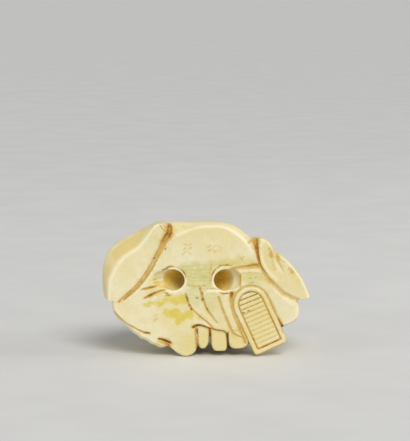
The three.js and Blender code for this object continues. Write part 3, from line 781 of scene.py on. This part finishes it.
class Carving:
    """The field of the whole carving: its forms are joined, and then its cuts are taken out."""

    SEAT_REACH = 2.0  # how far behind the seat its cuts can matter

    def __init__(self):
        sole, foot = sandal()
        left_knee, right_knee = knees()
        self.left_sleeve = left_sleeve()
        # every form, with the radius of the soft crease where it meets what is already there
        self.forms = [
            (trunk(), 0.0), (self.left_sleeve, 0.35), (right_sleeve(), 0.35), (lap(), 0.8), (left_knee, 0.3),
            (right_knee, 0.3), (heel(), 0.5), (foot, 0.3), (sole, 0.05),
            *((toe(*toe_shape), 0.06) for toe_shape in zip(TOES, (TOE_STEP, TOE_STEP, LAST_TOE_STEP))),
            *arm(-1), *arm(1), *hand(-1), *hand(1), *head(), *ear(-1), *ear(1), (collar(), 0.35),
        ]
        self.seat = Seat()
        mouth_z = CORD_Z + CORD_WEAR
        route = [
            (CORD_LEFT_X - 0.7, -1.0, mouth_z), (CORD_LEFT_X + 1.6, 3.0, CORD_Z),
            ((CORD_LEFT_X + CORD_RIGHT_X) / 2, CORD_DEPTH, CORD_Z),
            (CORD_RIGHT_X - 1.9, 3.0, CORD_Z), (CORD_RIGHT_X, -1.0, mouth_z),
        ]
        # the tunnel, and the hollows that the cord wore at its two mouths
        self.cuts = [
            (Limb(route, [CORD_R, CORD_R], 5), 0.25),
            (Egg((-8.6, -0.3, 15.8), (2.3, 1.3, 1.8)), 0.4),
            (Egg((5.3, -0.4, 15.85), (1.8, 2.3, 2.15)), 0.4),
        ]
        # folds and lines are laid on the carving as it is so far, and join it once all are laid
        laid = [
            (self.laid(np.array(route) * [side, 1, 1], radii), cut)
            for side in (-1, 1)
            for route, radii, cut in FOLDS
        ]
        lids = [[on_head(side * x, up, out) for x, up, out in EYELID] for side in (-1, 1)]
        lines = [self.laid(route, (0.08, 0.2, 0.08)) for route in (*lids, MOUTH)]
        self.forms += [(fold, FOLD_RIDGE) for fold, cut in laid if not cut]
        self.cuts += [(fold, FOLD_CREASE) for fold, cut in laid if cut]
        self.cuts += [(line, LINE_CREASE) for line in lines]

    def laid(self, route, radii):
        """A limb along this route, once each of its points has moved onto the surface."""
        return Limb(settle(self, np.array(route), 12, 0.5), radii, 3)

    def __call__(self, x, y, z):
        """Negative inside the carving, for arrays of places."""
        value = np.full(x.shape, FAR, np.float32)
        for form, soft in self.forms:
            here = form.reaches(x, y, z)
            if here.any():
                value[here] = smooth_min(value[here], form(x[here], y[here], z[here]), soft)
        for form, soft in self.cuts:
            here = form.reaches(x, y, z)
            if here.any():
                value[here] = smooth_max(value[here], -form(x[here], y[here], z[here]), soft)
        if y.min() < self.SEAT_REACH:
            value = smooth_max(value, self.seat.depth.at(x, z) - y, 0.12)
        return smooth_max(value, -z, 0.06)


# ---------------------------------------------------------------- from the field to a mesh


def spaced(stretches):
    """The planes of the grid along one axis."""
    lines = [np.arange(start, end, gap) for start, end, gap in stretches]
    return np.concatenate([*lines, [stretches[-1][1]]])


def sample(field, xs, ys, zs):
    x, z = np.meshgrid(xs, zs, indexing="ij")
    x, z = x.astype(np.float32), z.astype(np.float32)
    values = np.empty((len(xs), len(ys), len(zs)), np.float32)
    for j, y in enumerate(ys):
        values[:, j, :] = field(x, np.full_like(x, y), z)
    return values


def surface_net(values, xs, ys, zs):
    """One vertex in each cell that the surface crosses, and one four-sided face across each grid edge."""
    solid = values < 0
    shape = tuple(n - 1 for n in values.shape)
    corners = [(i, j, k) for i in (0, 1) for j in (0, 1) for k in (0, 1)]

    def corner(array, c):
        return array[c[0]:c[0] + shape[0], c[1]:c[1] + shape[1], c[2]:c[2] + shape[2]]

    count = sum(corner(solid, c).astype(np.int8) for c in corners)
    cells = np.argwhere((count > 0) & (count < 8))
    number = np.full(shape, -1, np.int32)
    number[tuple(cells.T)] = np.arange(len(cells))
    total = np.zeros((len(cells), 3))
    crossings = np.zeros(len(cells))
    for a in corners:
        for axis in range(3):
            if a[axis]:
                continue
            b = tuple(c + (axis == n) for n, c in enumerate(a))
            va = values[tuple((cells + a).T)]
            vb = values[tuple((cells + b).T)]
            crossed = (va < 0) != (vb < 0)
            t = np.where(crossed, va / np.where(crossed, va - vb, 1), 0)
            total += crossed[:, None] * (np.array(a) + t[:, None] * np.eye(3)[axis])
            crossings += crossed
    local = total / crossings[:, None]
    points = np.empty_like(local)
    for axis, lines in enumerate((xs, ys, zs)):
        start = lines[cells[:, axis]]
        gap = lines[cells[:, axis] + 1] - start
        points[:, axis] = start + gap * local[:, axis]
    faces = []
    for axis in range(3):
        u, v = (axis + 1) % 3, (axis + 2) % 3
        near = [slice(1, n - 1) for n in values.shape]
        near[axis] = slice(0, values.shape[axis] - 1)
        far = list(near)
        far[axis] = slice(1, values.shape[axis])
        here, there = solid[tuple(near)], solid[tuple(far)]
        for starts_inside in (True, False):
            edges = np.argwhere((here == starts_inside) & (there != starts_inside))
            edges += [1 if n != axis else 0 for n in range(3)]
            ring = []
            for du, dv in ((-1, -1), (0, -1), (0, 0), (-1, 0)):
                cell = edges.copy()
                cell[:, u] += du
                cell[:, v] += dv
                ring.append(number[tuple(cell.T)])
            quads = np.column_stack(ring)
            faces.append(quads if starts_inside else quads[:, ::-1])
    return points, np.vstack(faces)


def columns(points):
    """The x, the y and the z of each point, as the field takes them."""
    return [points[:, n].astype(np.float32) for n in range(3)]


def slope(field, points, step=0.03):
    """The field and its gradient at each point."""
    here = columns(points)
    gradient = np.empty_like(points)
    for n in range(3):
        ahead, behind = list(here), list(here)
        ahead[n], behind[n] = here[n] + step, here[n] - step
        gradient[:, n] = (field(*ahead) - field(*behind)) / (2 * step)
    return field(*here), gradient


def settle(field, points, passes=2, reach=0.12):
    """Moves each point onto the surface itself, by at most `reach` a pass."""
    least_slope = 0.05
    for _ in range(passes):
        value, gradient = slope(field, points)
        steep = np.maximum((gradient**2).sum(1), least_slope)
        move = -(value / steep)[:, None] * gradient
        far = np.linalg.norm(move, axis=1)
        points = points + move * np.minimum(1, reach / np.maximum(far, TINY))[:, None]
    return points


# ---------------------------------------------------------------- what the surface looks like at each place


# The waves that carry a stain's edge to and fro: how far, in millimetres, and how fast along X and Z.
WANDER = [(0.22, 0.9, 2.3), (0.15, -2.9, 3.1), (0.1, 5.7, 4.3), (0.07, -8.9, 9.7)]

# Oval stains with ragged edges, each as x and z of the middle, the radii across and up, how soft the edge
# is, and how strong the colour is.
YELLOW = [
    (-7.3, 9.1, 1.3, 0.9, 0.8, 1.1), (-6.0, 8.5, 1.6, 1.1, 0.8, 1.0), (-4.3, 8.4, 1.9, 1.0, 0.8, 1.0),
    (-3.0, 8.6, 0.8, 0.8, 0.8, 0.9), (-5.8, 7.3, 0.8, 0.5, 0.6, 0.85), (-5.3, 11.7, 1.4, 1.2, 0.8, 1.0),
    (-7.0, 11.8, 2.2, 0.9, 0.8, 0.9), (-9.4, 11.0, 1.5, 0.6, 0.8, 0.85), (-11.4, 10.8, 1.5, 0.6, 0.8, 0.85),
    (-9.7, 15.7, 1.2, 1.3, 1.0, 0.6), (-8.7, 13.9, 1.6, 0.8, 1.0, 0.6), (-5.6, 12.4, 1.8, 0.5, 1.0, 0.5),
    (-1.0, 8.2, 1.6, 0.9, 1.0, 0.45), (8.9, 18.3, 2.0, 0.4, 0.9, 0.6), (18.5, 15.4, 0.6, 0.6, 1.0, 0.55),
    (-10.1, 24.9, 0.6, 0.8, 1.0, 0.45), (-12.9, 25.0, 2.4, 0.8, 1.2, 0.35),
    (6.6, 19.1, 3.6, 0.55, 1.1, 0.5), (13.0, 19.0, 1.3, 2.2, 1.2, 0.4), (16.6, 17.0, 2.2, 1.4, 1.2, 0.35),
]
TAN = [
    (13.1, 21.1, 0.7, 0.9, 1.1, 0.9), (13.5, 19.5, 0.5, 1.4, 1.2, 0.6), (13.7, 18.0, 0.5, 0.6, 1.1, 0.45),
    (17.4, 17.6, 0.8, 0.45, 1.1, 0.8), (15.3, 19.4, 1.1, 0.9, 1.2, 0.5), (12.2, 19.9, 0.35, 1.0, 1.1, 0.4),
    (-8.1, 2.7, 0.9, 0.6, 0.9, 0.7), (7.3, 20.0, 0.6, 0.5, 1.0, 0.6), (15.7, 5.7, 0.4, 0.5, 0.9, 1.0),
    (9.1, 17.0, 2.6, 0.3, 0.9, 0.35), (-7.9, 24.0, 0.4, 0.9, 0.9, 0.5), (10.0, 24.1, 0.9, 0.5, 0.9, 0.8),
    (5.8, 18.9, 2.6, 0.3, 1.2, 0.35), (-3.4, 26.2, 3.2, 0.6, 1.2, 0.4), (8.6, 24.3, 1.2, 0.5, 1.1, 0.4),
]
AGED = [
    (2.0, 2.0, 8.0, 4.0, 0.6, 0.9), (-4.5, 1.0, 3.2, 3.4, 0.9, 0.35), (10.6, 8.0, 3.4, 6.5, 0.6, 0.9),
    (9.0, 16.2, 3.2, 1.4, 0.6, 0.8), (16.2, 16.0, 4.4, 4.4, 0.9, 0.45), (12.6, 20.6, 2.4, 3.6, 0.9, 0.8),
    (0.0, 26.0, 9.0, 1.6, 0.9, 0.5), (-5.5, 8.6, 4.4, 3.6, 0.8, 0.5), (-9.6, 14.6, 2.6, 2.4, 0.8, 0.6),
    (6.4, 19.0, 4.6, 1.6, 1.0, 0.9),
]
GREEN = [
    (-2.0, 17.4, 4.0, 2.0, 0.45, 1.0), (-1.6, 15.4, 3.0, 1.8, 0.5, 1.0), (-2.2, 12.6, 1.9, 2.2, 0.6, 0.7),
    (1.2, 11.6, 2.0, 2.6, 0.7, 0.6), (4.6, 19.0, 5.6, 0.8, 0.8, 0.7), (9.2, 16.2, 2.4, 0.9, 0.8, 0.5),
    (9.6, 14.9, 2.2, 0.4, 0.8, 0.4), (2.6, 7.6, 0.9, 1.1, 0.9, 0.3), (-5.8, 5.0, 1.4, 1.6, 0.9, 0.3),
    (-13.0, 24.3, 3.4, 1.6, 0.9, 0.4), (-4.6, 2.8, 2.8, 2.6, 1.2, 0.35),
]
SPECKS = [
    (-3.8, 12.0, 0.34, 0.6), (-3.3, 10.5, 0.2, 0.3), (-2.85, 9.75, 0.28, 0.4), (-0.6, 11.9, 0.3, 0.55),
    (-0.82, 13.0, 0.2, 0.3), (0.2, 9.7, 0.22, 0.34), (-7.7, 12.5, 0.6, 0.2), (-8.1, 17.85, 0.8, 0.2),
    (4.2, 13.0, 0.5, 0.2), (3.0, 18.7, 0.4, 0.16), (-1.6, 6.42, 0.55, 0.16), (-0.3, 6.2, 0.4, 0.17),
    (-8.2, 22.1, 0.2, 0.3), (-10.4, 20.1, 0.28, 0.26), (-11.9, 4.95, 0.7, 0.18), (-1.7, 12.0, 0.3, 0.24),
    (8.6, 9.4, 0.5, 0.18), (7.6, 9.0, 0.4, 0.2), (10.3, 13.0, 0.3, 0.16), (15.5, 6.1, 0.22, 0.4),
    (8.9, 16.1, 0.5, 0.12), (10.2, 16.2, 0.35, 0.1), (9.3, 15.2, 0.7, 0.12), (-1.2, 13.9, 0.18, 0.3),
]
SPECK_SOFT, SPECK_STRENGTH = 1.3, 0.85  # the same for all specks of soot
# where the band on the left sleeve's side, tan tint and painted shade, is strongest
SLEEVE_SIDE_PATCH = [(-15.6, 22.6, 4.6, 2.2, 1.4, 1.0)]

# how far behind the seat its stains, dirt and painted shadow still show, and its painted highlights
SEAT_EDGE, HIGHLIGHT_EDGE = 1.6, 0.7

# The two cord holes: the middle of each, and how fast the brown in it fades over a millimetre across and up.
# The brown is partly the cord's stain and partly painted shade, deeper further in and lighter on the wall
# painted as lit.
BORES = [((-6.6, 15.6), (0.1, -0.1)), ((4.4, 15.5), (0.75, -0.06))]


def painted(x, z, patches, wander=1.0):
    """The strongest of these patches at each place, with edges that stray by this share of the waves."""
    there_x = x + wander * sum(size * np.sin(u * x + v * z + 3 * size) for size, u, v in WANDER)
    there_z = z + wander * sum(size * np.sin(v * x - u * z + 7 * size) for size, u, v in WANDER)
    total = np.zeros(len(x))
    for across, up, radius_across, radius_up, soft, strength in patches:
        away = np.hypot((there_x - across) / radius_across, (there_z - up) / radius_up)
        total = np.maximum(total, np.clip((1 - away) / soft + 0.5, 0, 1) * strength)
    return total


def painted_highlights(x, z):
    """Painted highlights: how pale the lines along edges in the seat and round the cord holes' lips are
    made, where light catches them.
    """
    edge_light, lip_width, lip_light = 0.7, 0.22, 0.55
    lines = [(spline(line), width, edge_light) for width, edges in HIGHLIGHTED_EDGES.items() for line in edges]
    lines += [(oval(*lip, 24), lip_width, lip_light) for lip in LIPS]
    light = np.zeros(len(x))
    for line, width, strength in lines:
        distance, _ = line_distance(x, z, line)
        light = np.maximum(light, near_line(distance, width) * strength)
    return light


def tunnel_marks(x, y, z):
    """Where the inside of the tunnel is, and how brown it is there: partly stain, partly painted shade that
    deepens further in and lightens across each hole.
    """
    mouth, reach_across, reach_up, reach_in = 0.8, 9.5, 3.4, 3
    middle_brown, least_brown, hole_reach = 0.7, 0.03, 4
    in_tunnel = np.clip((y - mouth) / 1.2, 0, 1) * (y < CORD_DEPTH + reach_in)
    in_tunnel = in_tunnel * (np.abs(z - CORD_Z) < reach_up) * (np.abs(x) < reach_across)
    brown = np.zeros(len(x))
    for (across, up), (fade_across, fade_up) in BORES:
        shade = middle_brown - (x - across) * fade_across - (z - up) * fade_up
        brown = np.where(np.abs(x - across) < hole_reach, np.clip(shade, least_brown, 1), brown)
    return in_tunnel, brown * in_tunnel


def sleeve_side(face, x, y, z):
    """The tan on the side of the left sleeve: a band beyond its ridge, which fades out behind the seat. It
    is partly a tan tint and partly painted shade on a side turned from the light.
    """
    middle, half_width, right_end = 1.6, 1.7, -8.5
    band = np.clip(half_width - np.abs(face.distance(x, z) - middle), 0, 1)
    band = band * (x < right_end) * (z > HEM_Z) * np.clip(y / 0.3, 0, 1) * np.clip((4.5 - y) / 3, 0, 1)
    return band * (0.68 + 0.32 * painted(x, z, SLEEVE_SIDE_PATCH))


def surface_marks(field, points, normals):
    """The named attributes that the ivory's material reads: how strong each mark is, mostly from 0 to 1."""
    x, y, z = columns(points)

    def reach(distance):
        """The field at this distance out of each place, or into it, for each unit of distance."""
        return field(*columns(points + normals * distance)) / distance

    hollow = np.clip(1 - 0.5 * (reach(0.35) + reach(0.9)), 0, 1)
    # how convex each place is, which the material paints paler as a highlight on ridges
    ridge = np.clip(1 - 0.5 * (reach(-0.25) + reach(-0.5)), 0, 1)
    in_tunnel, bore = tunnel_marks(x, y, z)
    specks = painted(x, z, [(*speck, SPECK_SOFT, SPECK_STRENGTH) for speck in SPECKS], 0.3)
    # what lies on the seat, and a little way round its edges
    on_seat = {
        "dirt": field.seat.dirt.at(x, z),
        "soot": np.maximum(field.seat.soot.at(x, z), specks),
        "yellow": painted(x, z, YELLOW),
        "tan": painted(x, z, TAN),
        "aged": painted(x, z, AGED),
        "green": painted(x, z, GREEN, 0.5),
    }
    near = np.clip(SEAT_EDGE - y, 0, 1) * (normals[:, 1] < 0.3)
    return {
        # painted highlights along edges and round the cord holes' lips, on the seat only
        "light": painted_highlights(x, z) * (y < HIGHLIGHT_EDGE),
        "bore": bore,
        "bevel": sleeve_side(field.left_sleeve.face, x, y, z),
        "hollow": hollow * (1 - in_tunnel),
        "ridge": ridge,
        **{name: mark * near for name, mark in on_seat.items()},
    }


# ---------------------------------------------------------------- the material


def colour(red, green, blue):
    """A colour given as it looks on a screen, from 0 to 255."""
    screen = np.array([red, green, blue]) / 255
    linear = np.where(screen <= 0.04045, screen / 12.92, ((screen + 0.055) / 1.055) ** 2.4)
    return (*linear, 1.0)


IVORY = colour(238, 228, 188)
IVORY_WARM = colour(236, 220, 166)
IVORY_DULL = colour(229, 213, 160)
IVORY_GREY = colour(226, 220, 176)
IVORY_AGED = colour(231, 215, 151)
IVORY_LIGHT = colour(252, 243, 212)
BEVEL_TAN = colour(224, 200, 126)
HOLLOW_TAN = colour(208, 170, 86)
GROOVE_YELLOW = colour(212, 175, 78)
BROWN_DIRT_AND_SHADOW = colour(170, 112, 40)
DEEP_DIRT_AND_SHADOW = colour(118, 62, 18)
BORE_BROWN = colour(255, 222, 108)
SOOT_BROWN = colour(112, 74, 26)
STAIN_YELLOW = colour(222, 200, 66)
STAIN_TAN = colour(208, 163, 44)
STAIN_GREEN = colour(206, 200, 120)
FLOOR_WARM = colour(226, 225, 222)
FLOOR_GREY = colour(222, 221, 218)


class Shader:
    """A short way to write a node tree."""

    def __init__(self, name):
        self.material = bpy.data.materials.new(name)
        self.material.use_nodes = True
        self.tree = self.material.node_tree
        self.tree.nodes.clear()
        self.coordinates = self.node("ShaderNodeTexCoord").outputs["Object"]

    def node(self, kind, **settings):
        made = self.tree.nodes.new(kind)
        for key, value in settings.items():
            setattr(made, key, value)
        return made

    def link(self, value, socket):
        if isinstance(value, bpy.types.NodeSocket):
            self.tree.links.new(value, socket)
        else:
            socket.default_value = value

    def attribute(self, name):
        return self.node("ShaderNodeAttribute", attribute_name=name).outputs["Fac"]

    def scaled(self, scale):
        """Object coordinates, stretched, in millimetres."""
        mapping = self.node("ShaderNodeMapping")
        self.link(self.coordinates, mapping.inputs["Vector"])
        mapping.inputs["Scale"].default_value = [s / MM for s in scale]
        return mapping.outputs["Vector"]

    def noise(self, scale, detail=3.0, rough=0.55, stretch=(1, 1, 1)):
        node = self.node("ShaderNodeTexNoise")
        self.link(self.scaled(stretch), node.inputs["Vector"])
        node.inputs["Scale"].default_value = scale
        node.inputs["Detail"].default_value = detail
        node.inputs["Roughness"].default_value = rough
        return node.outputs["Fac"]

    def math(self, operation, a, b):
        node = self.node("ShaderNodeMath", operation=operation)
        self.link(a, node.inputs[0])
        self.link(b, node.inputs[1])
        return node.outputs[0]

    def remap(self, value, low, high, to_low=0.0, to_high=1.0):
        node = self.node("ShaderNodeMapRange", interpolation_type="SMOOTHSTEP")
        for socket, given in zip(node.inputs, (value, low, high, to_low, to_high)):
            self.link(given, socket)
        return node.outputs[0]

    def mix(self, factor, a, b):
        node = self.node("ShaderNodeMix", data_type="RGBA")
        self.link(factor, node.inputs["Factor"])
        colours = [socket for socket in node.inputs if socket.type == "RGBA"]
        self.link(a, colours[0])
        self.link(b, colours[1])
        return next(socket for socket in node.outputs if socket.type == "RGBA")

    def product(self, a, b):
        return self.math("MULTIPLY", a, b)

    def finish(self, shader):
        output = self.node("ShaderNodeOutputMaterial")
        self.link(shader.outputs[0], output.inputs["Surface"])
        return self.material


def ivory():
    s = Shader("carved_ivory")
    broad = s.noise(0.16, 3.0)
    patchy = s.noise(0.6, 4.0, 0.6)
    fine = s.noise(2.6, 4.0, 0.6)
    grain = s.noise(1.0, 2.0, 0.5, stretch=(3.2, 0.35, 0.5))
    streaks = s.noise(1.0, 3.0, 0.6, stretch=(0.5, 1.0, 3.0))
    rubbed = s.noise(1.0, 2.0, 0.5, stretch=(0.9, 0.15, 0.9))

    def rough(value, amount, texture=fine):
        """A value with its edges broken up by a texture."""
        return s.math("ADD", value, s.product(s.math("SUBTRACT", texture, 0.5), amount))

    def coats(base, *layers):
        """Covers the base with each tint in turn, up to its strength as its value goes from low to high."""
        for value, low, high, strength, tint in layers:
            base = s.mix(s.remap(value, low, high, 0, strength), base, tint)
        return base

    def stain(base, name, tint, strength):
        value = s.attribute(name)
        ragged = s.remap(rough(rough(value, 1.0, patchy), 0.7), 0.15, 1.0, 0, strength)
        uneven = s.product(ragged, s.remap(patchy, 0.25, 0.65, 0.65, 1.0))
        return s.mix(s.product(uneven, s.remap(value, 0.0, 0.3)), base, tint)

    base = coats(
        IVORY,
        (broad, 0.38, 0.66, 1.0, IVORY_WARM),
        (patchy, 0.46, 0.74, 0.7, IVORY_DULL),
        (s.noise(0.42, 4.0, 0.65), 0.46, 0.7, 0.5, IVORY_GREY),
        (grain, 0.5, 0.75, 0.3, IVORY_WARM),
        (fine, 0.54, 0.72, 0.4, IVORY_LIGHT),
        (rough(s.attribute("aged"), 0.6, patchy), 0.1, 0.9, 0.9, IVORY_AGED),
        # the left sleeve's side: partly a tan tint, partly painted shade
        (rough(s.attribute("bevel"), 0.5, patchy), 0.2, 0.9, 0.85, BEVEL_TAN),
    )
    # the green-grey film between the cord holes, the yellow stains and the tan ones
    film = s.product(s.attribute("green"), s.remap(rough(streaks, 0.8), 0.3, 0.62, 0.45, 1.0))
    base = s.mix(s.product(film, 0.85), base, STAIN_GREEN)
    base = stain(base, "yellow", STAIN_YELLOW, 0.88)
    base = stain(base, "tan", STAIN_TAN, 0.9)
    # painted highlights: convex ridges made paler, then pale lines along edges and round the cord holes'
    # lips
    base = coats(base, (s.attribute("ridge"), 0.1, 0.5, 0.5, IVORY_LIGHT))
    base = s.mix(s.product(s.attribute("light"), 0.9), base, IVORY_LIGHT)
    # tan in every hollow, and dirt in the grooves, with painted shadow in the few grooves that stand for
    # shadow lines
    hollow = s.remap(s.attribute("hollow"), 0.12, 0.85, 0, 0.75)
    base = s.mix(s.product(hollow, s.remap(patchy, 0.2, 0.7, 0.6, 1.0)), base, HOLLOW_TAN)
    dirt = rough(s.product(s.attribute("dirt"), s.remap(patchy, 0.3, 0.7, 0.72, 1.2)), 0.4)
    base = coats(
        base,
        (dirt, 0.04, 0.5, 0.9, GROOVE_YELLOW),
        (dirt, 0.5, 0.9, 0.92, BROWN_DIRT_AND_SHADOW),
        (dirt, 0.9, 1.2, 0.85, DEEP_DIRT_AND_SHADOW),
    )
    # brown in the cord's tunnel, partly stain and partly painted shade, then soot, and tiny dark pores
    bore = s.remap(s.attribute("bore"), 0.0, 0.85, 0, 0.95)
    base = s.mix(bore, base, BORE_BROWN)
    base = s.mix(s.product(bore, s.remap(rubbed, 0.42, 0.66, 0, 0.14)), base, BROWN_DIRT_AND_SHADOW)
    base = coats(
        base,
        (rough(s.attribute("soot"), 0.9), 0.25, 1.0, 0.85, SOOT_BROWN),
        (s.noise(5.5, 1.0, 0.4), 0.27, 0.2, 0.35, HOLLOW_TAN),
    )

    shader = s.node("ShaderNodeBsdfPrincipled")
    s.link(base, shader.inputs["Base Color"])
    s.link(s.remap(patchy, 0.3, 0.75, 0.34, 0.5), shader.inputs["Roughness"])
    shader.inputs["Subsurface Weight"].default_value = 0.12
    shader.inputs["Subsurface Radius"].default_value = (1.0, 0.6, 0.3)
    shader.inputs["Subsurface Scale"].default_value = 0.4 * MM
    shader.inputs["IOR"].default_value = 1.5
    bump = s.node("ShaderNodeBump")
    bump.inputs["Strength"].default_value = 0.3
    bump.inputs["Distance"].default_value = 0.05 * MM
    s.link(rough(fine, 0.6, grain), bump.inputs["Height"])
    s.link(bump.outputs["Normal"], shader.inputs["Normal"])
    return s.finish(shader)


def floor_material():
    s = Shader("pale_floor")
    shader = s.node("ShaderNodeBsdfPrincipled")
    tone = s.mix(s.remap(s.noise(0.05, 2.0), 0.3, 0.7), FLOOR_WARM, FLOOR_GREY)
    s.link(tone, shader.inputs["Base Color"])
    shader.inputs["Roughness"].default_value = 0.75
    return s.finish(shader)


# ---------------------------------------------------------------- the piece, and the studio round it

# the planes of the grid that the field is sampled on, as stretches with their start, end and spacing
GRID_X = [(-21.6, 21.6, 0.165)]
GRID_Y = [(-0.4, 1.3, 0.17), (1.3, 18.0, 0.45), (18.0, 34.0, 0.34)]
GRID_Z = [(-0.41, 28.0, 0.165)]
FINE_DEPTH = 1.2  # how far behind the seat the mesh keeps all its vertices
MOST_TRIANGLES = 190000


def thin(piece, keep):
    """Merges triangles away from the vertices to keep, until the piece is light enough."""
    mesh = piece.data
    triangles = 2 * len(mesh.polygons)  # every face has four sides
    group = piece.vertex_groups.new(name="free")
    group.add(np.flatnonzero(~keep).tolist(), 1.0, "REPLACE")
    fewer = piece.modifiers.new("fewer", "DECIMATE")
    fewer.use_collapse_triangulate = True
    fewer.vertex_group = group.name
    fewer.ratio = min(1.0, MOST_TRIANGLES / triangles)
    bpy.context.view_layer.update()
    made = bpy.data.meshes.new_from_object(piece.evaluated_get(bpy.context.evaluated_depsgraph_get()))
    piece.modifiers.clear()
    piece.vertex_groups.clear()
    piece.data = made
    made.name = mesh.name + "_thinned"


def netsuke():
    field = Carving()
    axes = [spaced(stretches) for stretches in (GRID_X, GRID_Y, GRID_Z)]
    points, faces = surface_net(sample(field, *axes), *axes)
    points = settle(field, points)
    points[:, 2] = np.maximum(points[:, 2], 0)
    _, gradient = slope(field, points)
    normals = gradient / np.maximum(np.linalg.norm(gradient, axis=1), TINY)[:, None]

    mesh = bpy.data.meshes.new("netsuke_carving")
    placed = (points - [0, DEPTH / 2, 0]) * MM
    mesh.from_pydata(placed.tolist(), [], faces.tolist())
    mesh.shade_smooth()
    for name, values in surface_marks(field, points, normals).items():
        mesh.attributes.new(name, "FLOAT", "POINT").data.foreach_set("value", values.astype(np.float32))
    mesh.materials.append(ivory())
    piece = bpy.data.objects.new("netsuke_carving", mesh)
    bpy.context.scene.collection.objects.link(piece)
    thin(piece, points[:, 1] < FINE_DEPTH)
    return piece


def floor():
    bpy.ops.mesh.primitive_plane_add(size=40)
    plane = bpy.context.object
    plane.name = "floor"
    plane.data.materials.append(floor_material())


def lamp(name, kind, toward, **settings):
    """A light that shines from this direction towards the carving."""
    light = bpy.data.lights.new(name, kind)
    for key, value in settings.items():
        setattr(light, key, value)
    made = bpy.data.objects.new(name, light)
    made.location = toward
    made.rotation_euler = Vector(toward).to_track_quat("Z", "Y").to_euler()
    bpy.context.scene.collection.objects.link(made)


def lights():
    world = bpy.data.worlds.new("studio")
    world.use_nodes = True
    background = world.node_tree.nodes["Background"]
    background.inputs["Color"].default_value = (0.93, 0.94, 0.95, 1)
    background.inputs["Strength"].default_value = 0.35
    bpy.context.scene.world = world
    lamp("key", "SUN", (0.16, -0.5, 0.5), energy=1.85, angle=np.radians(32))
    lamp("side", "AREA", (0.45, -0.02, 0.22), shape="DISK", size=0.25, energy=0.55)
    lamp("fill", "AREA", (-0.42, -0.2, 0.1), shape="DISK", size=0.3, energy=0.36)
    bpy.context.scene.view_settings.view_transform = "Standard"


FRAME_HEIGHT = 88.4 * MM  # what the longer side of the picture spans at the seat
CAMERA_DISTANCE = 0.4
CAMERA_RISE = 7.0  # degrees above the floor
CAMERA_AIM = (-0.18 * MM, 27.78 * MM)


def camera():
    lens = bpy.data.cameras.new("camera")
    lens.sensor_fit = "AUTO"
    lens.sensor_width = 36
    lens.lens = 36 * CAMERA_DISTANCE / FRAME_HEIGHT
    lens.clip_start = 0.01
    eye = bpy.data.objects.new("camera", lens)
    target = Vector((CAMERA_AIM[0], -DEPTH / 2 * MM, CAMERA_AIM[1]))
    rise = np.radians(CAMERA_RISE)
    eye.location = target + CAMERA_DISTANCE * Vector((0, -np.cos(rise), np.sin(rise)))
    eye.rotation_euler = (target - eye.location).to_track_quat("-Z", "Y").to_euler()
    bpy.context.scene.collection.objects.link(eye)
    bpy.context.scene.camera = eye


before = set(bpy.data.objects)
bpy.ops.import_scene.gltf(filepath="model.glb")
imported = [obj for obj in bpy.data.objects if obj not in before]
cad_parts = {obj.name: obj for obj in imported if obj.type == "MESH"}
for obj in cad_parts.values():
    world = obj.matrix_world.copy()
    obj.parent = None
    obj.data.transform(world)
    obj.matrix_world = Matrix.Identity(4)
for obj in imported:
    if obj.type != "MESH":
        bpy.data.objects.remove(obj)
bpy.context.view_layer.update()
carving = netsuke()
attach(carving, "root")
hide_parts("carved_netsuke")
floor()
lights()
camera()
